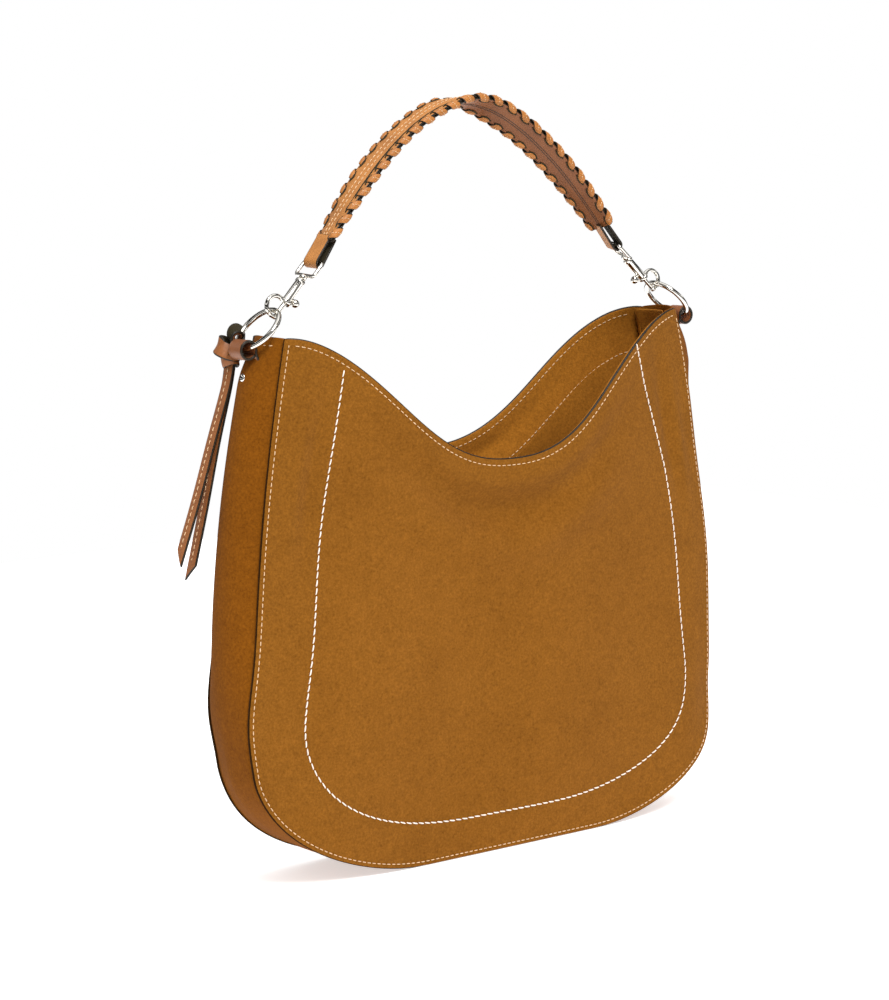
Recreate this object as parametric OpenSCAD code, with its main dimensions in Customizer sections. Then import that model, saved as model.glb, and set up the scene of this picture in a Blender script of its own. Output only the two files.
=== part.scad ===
// Hobo bag with a laced arch handle, swivel bolt snaps, O-rings and a tassel.
// Frame: X across the bag, -Y is the front, +Z up. The origin is the centre of the base.

/* [Body] */
// Height at the top corners
body_h = 370; // [350:5:400]
// Width across the top corners
top_w = 343; // [320:5:360]
// Width at the widest level
max_w = 422; // [400:5:440]
// Height of the widest level
wide_z = 82; // [70:2:95]
// Half length of the flat base
base_half = 75; // [70:1:85]
// Depth between the seams at the base
base_d = 66; // [60:2:80]
// Depth between the seams at the top corners
top_d = 38; // [36:1:44]
// How far the rim dips at its middle
rim_dip = 93; // [70:1:110]
// How far the front rim bows out at its middle
mouth_front = 23; // [10:1:30]
// How far the back rim bows out at its middle
mouth_back = 40; // [20:1:45]

/* [Leather] */
// Thickness of the panels
panel_t = 2; // [1.6:0.1:2.4]
// Thickness of the gusset
gusset_t = 1.8; // [1.4:0.1:2.2]
// Thickness of the rim facings
facing_t = 1.5; // [1:0.1:1.8]
// Height of the rim facings
facing_h = 55; // [40:1:70]

/* [Hardware] */
// Mean radius of the O-rings
ring_r = 17; // [16:0.5:18]
// Wire radius of the O-rings
ring_wire = 1.9; // [1.6:0.1:2]
// Thumb travel of the snap bolts
bolt_travel = 5; // [3:0.5:5.5]

/* [Handle] */
// Rise of the handle arch above its ends
arch_h = 92; // [70:2:110]
// Backward lean of the handle at rest, in degrees
handle_lean = 4; // [0:1:8]
// Half width of the strap without its lacing
strap_half = 7; // [6:0.5:8]
// Lace loops along each edge
lace_count = 25; // [15:1:26]

/* [Tassel] */
// Length of the longer tail
tail_len = 145; // [100:5:160]

/* [Hidden] */
$fn = 48;

gap = 0.15;             // between glued or sewn layers
corner_pow = 1.75;      // roundness of the lower corners
taper_pow = 1.76;       // how early the sides draw in
rim_pow = 1.19;         // roundness of the rim's dip
mouth_pow = 0.66;       // how quickly the mouth opens from its corners
belly = 6;              // crown of the panels at mid height
flange = 8;             // seam allowance of the gusset behind each panel
side_bow = 3;           // bow of the gusset at its sides
tab_bow = 11;           // extra bow of the gusset where the ring tab pulls it
tab_bow_z = body_h - 24;
tab_bow_reach = 22;
stiffener_t = 2.4;
lining_t = 0.7;
lining_off = panel_t + facing_t + 2.6;
lining_z = gusset_t + stiffener_t + 2.2;

// ---- hardware chain, worked out on the right side; the left is its mirror image ----
chain_angle = 45;
up_dir = [-cos(chain_angle), 0, sin(chain_angle)];   // from the tab towards the handle
out_dir = [sin(chain_angle), 0, cos(chain_angle)];
tab_half = 7;           // half width of the ring tab
tab_bore = 5;
tab_outer = 6.9;
tab_z = body_h - 6.5;
tab_x = half_w(tab_z) + 19.2;
tab_c = [tab_x, 0, tab_z];
ring_low = tab_c + up_dir;                // ring wire rests 1 mm from the loop's centre
ring_c = ring_low + ring_r * up_dir;
ring_top = ring_low + 2 * ring_r * up_dir;
hook_wire = 1.5;
hook_r = 7;
hook_off = 4;           // hook centre beside the bolt's line
hook_down = 27.5;       // hook centre below the barrel's top
hook_low = ring_top - (ring_wire + hook_wire + 0.2) * up_dir;
snap_o = hook_low - hook_off * out_dir + (hook_down + hook_r) * up_dir;
barrel_r = 3;
barrel_l = 21.2;
barrel_bore = 2.4;
bolt_r = 1.5;
bolt_tip = -31.1;
flange_z = -15.2;
stud_z = -15.9;
eye_bar_z = 15.6;
eye_bar_r = 1.3;
eye_half = 8.4;
eye_cross_z = 3.6;
stud_head_z = -3.6;
pivot_z = hook_low[2] - 1.5;
rivet_z = body_h - 25;
rivet_tilt = 11;        // follows the slope of the gusset

// ---- handle ----
tab_len = 17;           // eye bar to strap end
arch_pow = 1.75;
end_slope = 53;
bar_p = snap_o + eye_bar_z * up_dir;
arch_end = bar_p + tab_len * [-cos(end_slope), 0, sin(end_slope)];
arch_a = arch_end[0];
eye_turn_left = 14;
eye_turn_right = 18;
// turn of the strap about its own line, against its place along the arch (-1 to 1)
strap_turn = [[-1, eye_turn_left], [-0.75, 0], [-0.12, 0], [0.25, 50], [0.72, 48], [1, eye_turn_right]];
stations = 44;
face_n = [0.7, 2.1];
core_n = [-0.6, 0.6];
under_n = [-2.1, -0.7];
lace_in = 2.8;
lace_out = 4;
lace_w = 6.5;
lace_leg = 3.8;

// ---- tassel, worked out on the right side and mirrored to the left ----
knot_turn = 52;         // place of the knot round the ring, from its low point
down_dir = -up_dir;
knot_p = ring_c + ring_r * (cos(knot_turn) * down_dir + sin(knot_turn) * [0, 1, 0]);
knot_t = cos(knot_turn) * [0, 1, 0] - sin(knot_turn) * down_dir;
tail_top = knot_p + [4.5, 2, -17];
tail_t = 2;
tail_w = 8.5;

// Half width of the body's outline at height z
function half_w(z) =
    let (s = min(1, max(0, (body_h - z) / (body_h - wide_z))), t = min(1, max(0, 1 - z / wide_z)))
    z >= wide_z
        ? top_w / 2 + (max_w - top_w) / 2 * (1 - pow(1 - s, taper_pow))
        : base_half + (max_w / 2 - base_half) * pow(max(0, 1 - pow(t, corner_pow)), 1 / corner_pow);

// Depth between the front and back seams at height z
function seam_d(z) = base_d + (top_d - base_d) * z / body_h;

// Height of the rim at u, from 0 in the middle to 1 at a corner
function rim_raw(u) = body_h - rim_dip * (1 + cos(180 * pow(min(1, u), rim_pow))) / 2;
function rim_z(u) = rim_raw(u * half_w(rim_raw(u)) / (top_w / 2));

// Distance of a panel's outer face from the middle plane
function panel_y(u, z, mouth) =
    let (v = min(1, z / rim_z(u)), m = pow(max(0, cos(90 * u)), mouth_pow))
    seam_d(z) / 2 + m * (belly * sin(180 * v) + pow(v, 2.5) * (top_d / 2 + mouth - seam_d(z) / 2));

// Point of a panel: side is -1 for the front and 1 for the back, off is the depth below its outer face
function mouth(side) = side < 0 ? mouth_front : mouth_back;
function panel_pt(u, z, side, off) =
    [u * half_w(z), side * (panel_y(abs(u), z, mouth(side)) - off), z];

function bow(z) = side_bow * min(1, z / wide_z) + tab_bow * exp(-pow((z - tab_bow_z) / tab_bow_reach, 2));

// Outline of the body from the top corner (s = 0) to the middle of the base (s = 1)
function outline(s) =
    s < 0.5 ? let (z = body_h - (body_h - wide_z) * s / 0.5) [half_w(z), z] :
    s < 0.85 ? let (a = 90 * (s - 0.5) / 0.35)
        [base_half + (max_w / 2 - base_half) * pow(max(0, cos(a)), 2 / corner_pow),
         wide_z * (1 - pow(sin(a), 2 / corner_pow))] :
    [base_half * (1 - s) / 0.15, 0];
function outline_dir(s) =
    let (a = outline(max(0, s - 0.004)), b = outline(min(1, s + 0.004)), d = b - a) d / norm(d);

function quad(a, b, c, d) = [[a, b, c], [a, c, d]];
function spread(n, a, b) = [for (i = [0 : n]) a + (b - a) * i / n];
function turned(faces, flip) = flip ? [for (f = faces) [f[0], f[2], f[1]]] : faces;

// Closed solid between two grids of points of the same size
module slab(outer, inner, flip = false) {
    n = len(outer[0]);
    m = len(outer);
    k = n * m;
    pts = [for (g = [outer, inner]) for (row = g) for (p = row) p];
    faces = [
        for (j = [0 : m - 2]) for (i = [0 : n - 2])
            let (a = j * n + i) each quad(a, a + 1, a + n + 1, a + n),
        for (j = [0 : m - 2]) for (i = [0 : n - 2])
            let (a = k + j * n + i) each quad(a, a + n, a + n + 1, a + 1),
        for (i = [0 : n - 2]) each quad(i, i + k, i + k + 1, i + 1),
        for (i = [0 : n - 2]) let (a = (m - 1) * n + i) each quad(a, a + 1, a + k + 1, a + k),
        for (j = [0 : m - 2]) let (a = j * n) each quad(a, a + n, a + n + k, a + k),
        for (j = [0 : m - 2]) let (a = j * n + n - 1) each quad(a, a + k, a + n + k, a + n)
    ];
    polyhedron(points = pts, faces = turned(faces, flip));
}

// Closed pocket between two stacks of rings, open at the top
module pocket(outer, inner) {
    n = len(outer[0]);
    m = len(outer);
    k = n * m;
    pts = concat([for (g = [outer, inner]) for (row = g) for (p = row) p],
        [ring_middle(outer[0]), ring_middle(inner[0])]);
    faces = [
        for (j = [0 : m - 2]) for (i = [0 : n - 1])
            let (a = j * n + i, b = j * n + (i + 1) % n) each quad(a, b, b + n, a + n),
        for (j = [0 : m - 2]) for (i = [0 : n - 1])
            let (a = k + j * n + i, b = k + j * n + (i + 1) % n) each quad(a, a + n, b + n, b),
        for (i = [0 : n - 1])
            let (a = (m - 1) * n + i, b = (m - 1) * n + (i + 1) % n) each quad(a, b, b + k, a + k),
        for (i = [0 : n - 1]) [i, 2 * k, (i + 1) % n],
        for (i = [0 : n - 1]) [k + i, k + (i + 1) % n, 2 * k + 1]
    ];
    polyhedron(points = pts, faces = turned(faces, true));
}
function ring_middle(ring) = [for (c = [0 : 2]) sum([for (p = ring) p[c]]) / len(ring)];
function sum(v, i = 0) = i < len(v) ? v[i] + sum(v, i + 1) : 0;

module left_side() { mirror([1, 0, 0]) children(); }

// ---- body ----
panel_cols = spread(24, -1, 1);
panel_rows = [for (i = [0 : 16]) pow(i / 16, 1.4)];
function panel_grid(side, off) =
    [for (v = panel_rows) [for (u = panel_cols) panel_pt(u, v * rim_z(abs(u)), side, off)]];

module front_panel() {
    color("peru") slab(panel_grid(-1, 0), panel_grid(-1, panel_t), true);
}

module back_panel() {
    color("peru") slab(panel_grid(1, 0), panel_grid(1, panel_t));
}

// Cross-section of the gusset: flange, bowed web, flange, as [y, distance out of the outline]
function gusset_path(z, t) =
    let (w = seam_d(z) / 2 - panel_t - gap - t, b = bow(z))
    concat([[-w, -flange]], [for (k = spread(8, -1, 1)) [k * w, b * (1 - k * k) - t]], [[w, -flange]]);
function gusset_row(s, side, t) =
    let (p = outline(s), d = outline_dir(s), nx = -d[1], nz = d[0])
    [for (q = gusset_path(p[1], t)) [side * (p[0] + nx * q[1]), q[0], p[1] + nz * q[1]]];
outline_steps = concat(spread(20, 0, 0.49), spread(15, 0.5, 0.85), [0.9, 0.95]);
function gusset_grid(t) = concat(
    [for (s = outline_steps) gusset_row(s, 1, t)],
    [gusset_row(1, 1, t)],
    [for (i = [len(outline_steps) - 1 : -1 : 0]) gusset_row(outline_steps[i], -1, t)]);

module tab_neck(r, half) {
    hull() for (p = [[-4.6, -4.6], [-10.6, -10]])
        translate([tab_x + p[0], 0, tab_z + p[1]]) rotate([90, 0, 0])
            cylinder(r = r, h = 2 * half, center = true, $fn = 32);
}

// Local +Z points out of the gusset, from its outer face
module rivet_frame() {
    translate([half_w(rivet_z) + bow(rivet_z), 0, rivet_z]) rotate([0, 90 - rivet_tilt, 0]) children();
}

module rivet_bore(r) {
    rivet_frame() translate([0, 0, -16]) cylinder(r = r, h = 20);
}

module gusset() {
    color("sienna") difference() {
        slab(gusset_grid(0), gusset_grid(gusset_t), true);
        for (side = [0, 1]) mirror([side, 0, 0]) {
            tab_neck(2.1, tab_half + 0.5);
            rivet_bore(1.4);
        }
    }
}

facing_u = 0.94;        // the facings stop short of the side seams
facing_gap = 1.05;
function facing_grid(side, off) = [
    for (h = [1, 0.75, 0.5, 0.25, 0] * facing_h)
        [for (u = spread(22, -facing_u, facing_u)) panel_pt(u, rim_z(abs(u)) - h, side, off)]
];

module front_facing() {
    color("peru") slab(facing_grid(-1, panel_t + facing_gap), facing_grid(-1, panel_t + facing_gap + facing_t), true);
}

module back_facing() {
    color("peru") slab(facing_grid(1, panel_t + facing_gap), facing_grid(1, panel_t + facing_gap + facing_t));
}

gusset_facing_off = 12.5;
function gusset_facing_grid(off) = [
    for (z = spread(8, body_h - 46, body_h - 1))
        [for (k = spread(6, -1, 1))
            let (w = seam_d(z) / 2 - 6) [half_w(z) + bow(z) * (1 - k * k / 2) - off, k * w, z]]
];

module gusset_facing() {
    color("peru") slab(gusset_facing_grid(gusset_facing_off), gusset_facing_grid(gusset_facing_off + 1.2));
}

// Loop of the lining: along the front, across, along the back and across again
lining_top = facing_h - 6;
function lining_x(t, z) = t * (half_w(z - 5) - 11);
function lining_y(x, z, side, off) = side * (panel_y(abs(x) / half_w(z), z, mouth(side)) - off);
function lining_end_z(t) = rim_z(abs(t)) - lining_top;
function lining_pt(t, v, side, off, z0) =
    let (z = z0 + v * (lining_end_z(t) - z0), x = lining_x(t, z)) [x, lining_y(x, z, side, off), z];
function lining_side(t, v, off, z0) =
    let (a = lining_pt(t, v, -1, off, z0), b = lining_pt(t, v, 1, off, z0))
    [for (k = t > 0 ? [0.25, 0.5, 0.75] : [0.75, 0.5, 0.25]) a + (b - a) * k + [t > 0 ? 0.01 : -0.01, 0, 0]];
lining_cols = spread(18, -1, 1);
function lining_ring(v, off, z0, draw) = concat(
    [for (t = lining_cols) lining_pt(t * draw, v, -1, off, z0)],
    lining_side(draw, v, off, z0),
    [for (t = lining_cols) lining_pt(-t * draw, v, 1, off, z0)],
    lining_side(-draw, v, off, z0));
lining_rows = [for (i = [0 : 10]) pow(i / 10, 1.3)];

module lining() {
    color("saddlebrown") pocket(
        [for (v = lining_rows) lining_ring(v, lining_off, lining_z, 1)],
        [for (v = lining_rows) lining_ring(v, lining_off + lining_t, lining_z + lining_t, 0.99)]);
}

module base_stiffener() {
    x = base_half - 6;
    y = seam_d(0) / 2 - 6;
    r = 5;
    color("dimgray") translate([0, 0, gusset_t + 0.4]) union() {
        translate([-x, -y + r, 0]) cube([2 * x, 2 * (y - r), stiffener_t]);
        translate([-x + r, -y, 0]) cube([2 * (x - r), 2 * y, stiffener_t]);
        for (i = [-1, 1], j = [-1, 1])
            translate([i * (x - r), j * (y - r), 0]) cylinder(r = r, h = stiffener_t);
    }
}

// ---- ring tabs and their rivets ----
module tab_leaf() {
    hull() for (p = [[-10.6, -10], [-8.2, -27]])
        translate([tab_x + p[0], 0, tab_z + p[1]]) rotate([90, 0, 0])
            cylinder(r = 1.7, h = 2 * tab_half, center = true, $fn = 32);
}

module ring_tab() {
    color("saddlebrown") difference() {
        union() {
            translate(tab_c) rotate([90, 0, 0])
                cylinder(r = tab_outer, h = 2 * tab_half, center = true);
            tab_neck(1.7, tab_half);
            tab_leaf();
        }
        translate(tab_c) rotate([90, 0, 0])
            cylinder(r = tab_bore, h = 2 * tab_half + 2, center = true);
        rivet_bore(1.4);
    }
}

rivet_head = 0.35;      // underside of the rivet's head
rivet_tail = 10.7;      // depth of the leaf's inner face

module tab_rivet() {
    rivet_frame() {
        translate([0, 0, -rivet_tail]) cylinder(r = 1.2, h = rivet_tail + rivet_head + 0.4);
        translate([0, 0, rivet_head]) cylinder(r = 2.9, h = 0.8);
        translate([0, 0, rivet_head + 0.8]) intersection() {
            translate([0, 0, -3]) sphere(r = 4.2);
            cylinder(r = 2.9, h = 2);
        }
    }
}

module tab_rivets() {
    color("silver") {
        tab_rivet();
        left_side() tab_rivet();
    }
}

module rivet_washer() {
    rivet_frame() translate([0, 0, -rivet_tail - 0.6]) difference() {
        cylinder(r = 3.4, h = 0.8);
        translate([0, 0, -1]) cylinder(r = 1.25, h = 3);
    }
}

module rivet_washers() {
    color("silver") {
        rivet_washer();
        left_side() rivet_washer();
    }
}

// ---- O-rings ----
module o_ring() {
    color("silver") translate(ring_c) rotate([0, 90 - chain_angle, 0])
        rotate_extrude() translate([ring_r, 0]) circle(r = ring_wire);
}

// ---- swivel bolt snaps: local +Z runs up the snap, local +X is its outer side ----
module leaned() {
    translate([0, 0, pivot_z]) rotate([-handle_lean, 0, 0]) translate([0, 0, -pivot_z]) children();
}

module snap_frame() {
    leaned() translate(snap_o) rotate([0, chain_angle - 90, 0]) children();
}

module snap_body() {
    color("silver") snap_frame() difference() {
        union() {
            translate([0, 0, -barrel_l]) cylinder(r = barrel_r, h = barrel_l);
            translate([0, 0, -barrel_l - 0.4]) cylinder(r = barrel_r + 1, h = 2.2);
            translate([0, 0, -2.2]) cylinder(r = barrel_r + 0.4, h = 1.2);
            hook_wire_arc();
        }
        translate([0, 0, -1.8]) cylinder(r = 1.8, h = 3);
        translate([0, 0, -barrel_l + 2]) cylinder(r = barrel_bore, h = barrel_l - 3.8);
        translate([0, 0, -barrel_l - 4]) cylinder(r = bolt_r + 0.25, h = barrel_l);
        translate([-barrel_r - 2, -1.1, stud_z - 1.1])
            cube([barrel_r + 2, 2.2, bolt_travel + 2.2]);
    }
}

hook_start = 95;
hook_end = -acos(-hook_off / hook_r);

module hook_wire_arc() {
    translate([hook_off, 0, -hook_down]) rotate([90, 0, 0]) rotate([0, 0, hook_end])
        rotate_extrude(angle = hook_start - hook_end) translate([hook_r, 0]) circle(r = hook_wire);
    translate([0, 0, -hook_down + hook_r * sin(hook_end)]) sphere(r = hook_wire + 0.4);
}

module snap_bolt() {
    color("silver") snap_frame() difference() {
        union() {
            translate([0, 0, bolt_tip]) cylinder(r = bolt_r, h = flange_z - bolt_tip);
            translate([0, 0, flange_z]) cylinder(r = barrel_bore - 0.3, h = 1.8);
        }
        translate([-bolt_r - 1, 0, stud_z]) rotate([0, 90, 0]) cylinder(r = 0.8, h = bolt_r + 0.6);
    }
}

module thumb_stud() {
    color("silver") snap_frame() translate([0, 0, stud_z]) {
        translate([-5, 0, 0]) rotate([0, 90, 0]) cylinder(r = 0.8, h = 4.6);
        translate([-7.2, 0, 0]) sphere(r = 3);
    }
}

// Coil spring inside the barrel, as a tube swept along a helix
spring_turns = 6;
spring_steps = 12;
function spring_ring(i, r, wire, z0, z1) =
    let (n = spring_turns * spring_steps, a = 360 * i / spring_steps, z = z0 + (z1 - z0) * i / n)
    [for (k = [0 : 5]) let (q = r + wire * cos(60 * k)) [q * cos(a), q * sin(a), z + wire * sin(60 * k)]];

module bolt_spring() {
    n = spring_turns * spring_steps;
    rings = [for (i = [0 : n]) spring_ring(i, 1.75, 0.25, flange_z + 2.2, stud_head_z - 0.5)];
    pts = [for (r = rings) for (p = r) p];
    faces = [
        for (i = [0 : n - 1]) for (k = [0 : 5])
            each quad(i * 6 + k, i * 6 + (k + 1) % 6, i * 6 + 6 + (k + 1) % 6, i * 6 + 6 + k),
        for (k = [1 : 4]) [0, k + 1, k],
        for (k = [1 : 4]) [n * 6, n * 6 + k, n * 6 + k + 1]
    ];
    color("gray") snap_frame() polyhedron(points = pts, faces = faces);
}

module eye_rod(a, b, r) {
    d = b - a;
    translate(a) rotate([acos(d[2] / norm(d)), 0, atan2(d[0], -d[1])]) cylinder(r = r, h = norm(d));
    translate(a) sphere(r = r);
    translate(b) sphere(r = r);
}

module swivel_eye(turn) {
    color("silver") snap_frame() rotate([0, 0, -turn]) {
        eye_rod([0, -eye_half, eye_cross_z], [0, eye_half, eye_cross_z], eye_bar_r);
        eye_rod([0, -eye_half, eye_bar_z], [0, eye_half, eye_bar_z], eye_bar_r);
        for (y = [-eye_half, eye_half]) eye_rod([0, y, eye_cross_z], [0, y, eye_bar_z], eye_bar_r);
        translate([0, 0, 0.3]) cylinder(r = 2.6, h = eye_cross_z);
        translate([0, 0, stud_head_z]) cylinder(r = 1.4, h = 5);
        translate([0, 0, stud_head_z]) cylinder(r = 2.1, h = 1.2);
    }
}

// ---- handle: a strap along an arch in the X-Z plane, turned about its own line ----
function arch_z(x) = arch_end[2] + arch_h * (1 - pow(abs(x) / arch_a, arch_pow));
function arch_p(x) = [x, 0, arch_z(x)];
function arch_t(x) = let (d = arch_p(x + 0.2) - arch_p(x - 0.2)) d / norm(d);
function arch_n(x) = let (t = arch_t(x)) [-t[2], 0, t[0]];
function turn_at(x) = lookup(x / arch_a, strap_turn);
function strap_w(x) = let (q = turn_at(x)) cos(q) * [0, 1, 0] - sin(q) * arch_n(x);
function strap_n(x) = let (q = turn_at(x)) cos(q) * arch_n(x) + sin(q) * [0, 1, 0];
strap_xs = spread(stations, -arch_a, arch_a);
function strap_grid(half, n) =
    [for (x = strap_xs) [for (w = [-half, 0, half]) arch_p(x) + w * strap_w(x) + n * strap_n(x)]];

module strap_layer(half, n) {
    leaned() slab(strap_grid(half, n[1]), strap_grid(half, n[0]));
}

module handle_face() { color("peru") strap_layer(strap_half, face_n); }
module handle_core() { color("tan") strap_layer(strap_half - 1, core_n); }
module handle_underside() { color("saddlebrown") strap_layer(strap_half, under_n); }

// Length along the arch, so that the lace loops are evenly spaced
arch_steps = 120;
arch_xs = spread(arch_steps, -arch_a, arch_a);
function arch_len(i) = i == 0 ? 0 : norm(arch_p(arch_xs[i]) - arch_p(arch_xs[i - 1]));
function running(i, s = 0, k = 0) = k > i ? s : running(i, s + arch_len(k), k + 1);
arch_lens = [for (i = [0 : arch_steps]) running(i)];
arch_total = arch_lens[arch_steps];
x_of_len = [for (i = [0 : arch_steps]) [arch_lens[i], arch_xs[i]]];
lace_margin = 9;
function lace_x(i) =
    lookup(lace_margin + (arch_total - 2 * lace_margin) * i / (lace_count - 1), x_of_len);

module lace_loop(side) {
    arc = spread(12, -90, 90);
    pts = concat(
        [[strap_half - lace_leg, -lace_out]],
        [for (a = arc) [strap_half + lace_out * cos(a), lace_out * sin(a)]],
        [[strap_half - lace_leg, lace_out], [strap_half - lace_leg, lace_in]],
        [for (i = [12 : -1 : 0]) [strap_half + lace_in * cos(arc[i]), lace_in * sin(arc[i])]],
        [[strap_half - lace_leg, -lace_in]]);
    rotate([90, 0, 90]) translate([0, 0, -lace_w / 2]) linear_extrude(lace_w)
        polygon([for (p = pts) [side * p[0], p[1]]]);
}

module lacing(side) {
    leaned() for (i = [0 : lace_count - 1]) {
        x = lace_x(i);
        t = arch_t(x);
        w = strap_w(x);
        n = strap_n(x);
        p = arch_p(x);
        multmatrix([
            [t[0], w[0], n[0], p[0]],
            [t[1], w[1], n[1], p[1]],
            [t[2], w[2], n[2], p[2]],
            [0, 0, 0, 1]]) lace_loop(side);
    }
}

module handle_lace_front() { color("peru") lacing(-1); }
module handle_lace_back() { color("peru") lacing(1); }

// Leather fold that joins the strap end to the eye's bar
module handle_tab(turn) {
    out_r = 4;
    in_r = 2.2;
    color("chocolate") leaned() translate(bar_p) rotate([0, end_slope - 90, 0]) rotate([0, 0, -turn])
        rotate([90, 0, 0]) linear_extrude(2 * strap_half - 0.5, center = true) difference() {
            union() {
                circle(r = out_r);
                translate([-out_r, 0]) square([2 * out_r, tab_len - 0.6]);
            }
            circle(r = in_r);
            translate([-in_r, 0]) square([2 * in_r, tab_len]);
        }
}

// ---- tassel ----
module knot_frame() {
    translate(knot_p) rotate([0, 0, atan2(knot_t[1], knot_t[0])]) rotate([0, acos(knot_t[2]), 0]) children();
}

module tassel_knot() {
    color("peru") left_side() difference() {
        union() {
            knot_frame() cylinder(r = 4.8, h = 8, center = true);
            hull() for (q = [[3.2, 1.5, -5], [8, 3, -8], [4.5, 2, -12]])
                translate(knot_p + q) sphere(r = 4, $fn = 32);
        }
        knot_frame() cylinder(r = 2.6, h = 30, center = true);
    }
}

// A flat tail from the knot, with a slanted end
module tassel_tail(lean_x, lean_y, length, shift) {
    color("peru") left_side() translate(tail_top + shift)
        rotate([0, -lean_x, 0]) rotate([-lean_y, 0, 0]) rotate([0, 0, -37]) rotate([90, 0, 90])
            translate([0, 0, -tail_t / 2]) linear_extrude(tail_t)
                polygon([[-tail_w / 2, 0], [tail_w / 2, 0],
                    [tail_w / 2, -length + tail_w], [-tail_w / 2, -length]]);
}

module tassel_tail_outer() { tassel_tail(16, -3, tail_len - 11, [2, 0, 0]); }
module tassel_tail_inner() { tassel_tail(12, -3, tail_len, [-0.8, 0, 0]); }

module gusset_facing_right() { gusset_facing(); }
module gusset_facing_left() { left_side() gusset_facing(); }
module ring_tab_right() { ring_tab(); }
module ring_tab_left() { left_side() ring_tab(); }
module o_ring_right() { o_ring(); }
module o_ring_left() { left_side() o_ring(); }
module snap_body_right() { snap_body(); }
module snap_body_left() { left_side() snap_body(); }
module snap_bolt_right() { snap_bolt(); }
module snap_bolt_left() { left_side() snap_bolt(); }
module thumb_stud_right() { thumb_stud(); }
module thumb_stud_left() { left_side() thumb_stud(); }
module bolt_spring_right() { bolt_spring(); }
module bolt_spring_left() { left_side() bolt_spring(); }
module swivel_eye_right() { swivel_eye(eye_turn_right); }
module swivel_eye_left() { left_side() swivel_eye(eye_turn_left); }
module handle_tab_right() { handle_tab(eye_turn_right); }
module handle_tab_left() { left_side() handle_tab(eye_turn_left); }

front_panel();
back_panel();
gusset();
front_facing();
back_facing();
gusset_facing_left();
gusset_facing_right();
lining();
base_stiffener();
ring_tab_left();
ring_tab_right();
tab_rivets();
rivet_washers();
o_ring_left();
o_ring_right();
snap_body_left();
snap_body_right();
snap_bolt_left();
snap_bolt_right();
thumb_stud_left();
thumb_stud_right();
bolt_spring_left();
bolt_spring_right();
swivel_eye_left();
swivel_eye_right();
handle_face();
handle_core();
handle_underside();
handle_lace_front();
handle_lace_back();
handle_tab_left();
handle_tab_right();
tassel_knot();
tassel_tail_outer();
tassel_tail_inner();
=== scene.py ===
import math
import bpy
import numpy as np
from mathutils import Matrix, Vector


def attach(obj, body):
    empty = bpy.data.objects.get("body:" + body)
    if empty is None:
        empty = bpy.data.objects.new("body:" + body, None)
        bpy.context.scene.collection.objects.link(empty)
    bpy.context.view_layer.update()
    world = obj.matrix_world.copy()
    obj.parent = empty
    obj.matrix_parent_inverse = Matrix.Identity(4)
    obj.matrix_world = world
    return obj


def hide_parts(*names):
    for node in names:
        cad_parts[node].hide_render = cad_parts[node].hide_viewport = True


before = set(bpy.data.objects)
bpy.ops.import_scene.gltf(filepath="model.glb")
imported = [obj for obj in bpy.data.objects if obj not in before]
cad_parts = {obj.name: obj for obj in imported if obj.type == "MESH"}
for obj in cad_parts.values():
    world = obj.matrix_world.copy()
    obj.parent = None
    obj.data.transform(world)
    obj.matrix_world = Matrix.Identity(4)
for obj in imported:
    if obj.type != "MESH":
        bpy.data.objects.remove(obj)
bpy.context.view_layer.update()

# Lengths below are in millimetres; put() turns them into metres.
# ---------------------------------------------------------------- shape of the body
H, TOP_W, MAX_W, WIDE_Z, BASE = 370.0, 343.0, 422.0, 82.0, 75.0
BASE_D, TOP_D, DIP = 66.0, 38.0, 93.0
CORNER, TAPER, RIM_POW, MOUTH_POW, BELLY = 1.84, 1.76, 1.19, 0.66, 6.0
MOUTH = {-1: 23.0, 1: 40.0}
PANEL_T, GUSSET_T, FACING_T, FACING_H = 2.0, 1.8, 1.5, 37.0
CREASE, BULGE = 2.0, 16.5


def hill(v, at, width):
    """A smooth hill of height 1."""
    return np.exp(-((v - at) / width) ** 2)


def half_w(z):
    """Half width between the side seams."""
    z = np.asarray(z, float)
    s = np.clip((H - z) / (H - WIDE_Z), 0, 1)
    t = np.clip(1 - z / WIDE_Z, 0, 1)
    up = TOP_W / 2 + (MAX_W - TOP_W) / 2 * (1 - (1 - s) ** TAPER)
    low = BASE + (MAX_W / 2 - BASE) * np.clip(1 - t ** CORNER, 0, 1) ** (1 / CORNER)
    return np.where(z >= WIDE_Z, up, low)


def seam_d(z):
    """Depth between the front and back seams."""
    return BASE_D + (TOP_D - BASE_D) * np.asarray(z, float) / H


def rim_z(u):
    """Height of the rim at the share u of the half width."""
    u = np.clip(np.abs(u), 0, 1)
    first = H - DIP * (1 + np.cos(np.pi * u ** RIM_POW)) / 2
    v = np.clip(u * half_w(first) / (TOP_W / 2), 0, 1)
    return H - DIP * (1 + np.cos(np.pi * v ** RIM_POW)) / 2


def creases(x, z, side):
    """How far the soft panel stands out of its plain form."""
    d = rim_z(x / half_w(z)) - z
    sag = hill(x, 0, 75) * (1.5 * hill(d, 16, 8) - 2.4 * hill(d, 36, 13))
    shelf = 1.3 * hill(d, 62, 16) * hill(x, -10, 60)
    waves = 1.8 * np.sin(x / 43.0 + z / 61.0 + side) * np.sin(z / 47.0 - x / 90.0)
    lane = (np.abs(x) - 0.86 * half_w(z) + 0.03 * (z - 290)) / 5.5
    by_seam = 1.5 * (hill(lane, 1.3, 1) - hill(lane, -1.1, 1)) * hill(z, 282, 46)
    flanks = 1.3 * hill(z - 0.5 * np.abs(x), 205, 16) * hill(np.abs(x), 60, 45)
    edge = np.clip((half_w(z) - np.abs(x)) / 35.0, 0, 1) * np.clip(z / 40.0, 0, 1)
    return CREASE * (1.4 * (sag + shelf) + waves + by_seam + flanks) * edge ** 0.8


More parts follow.
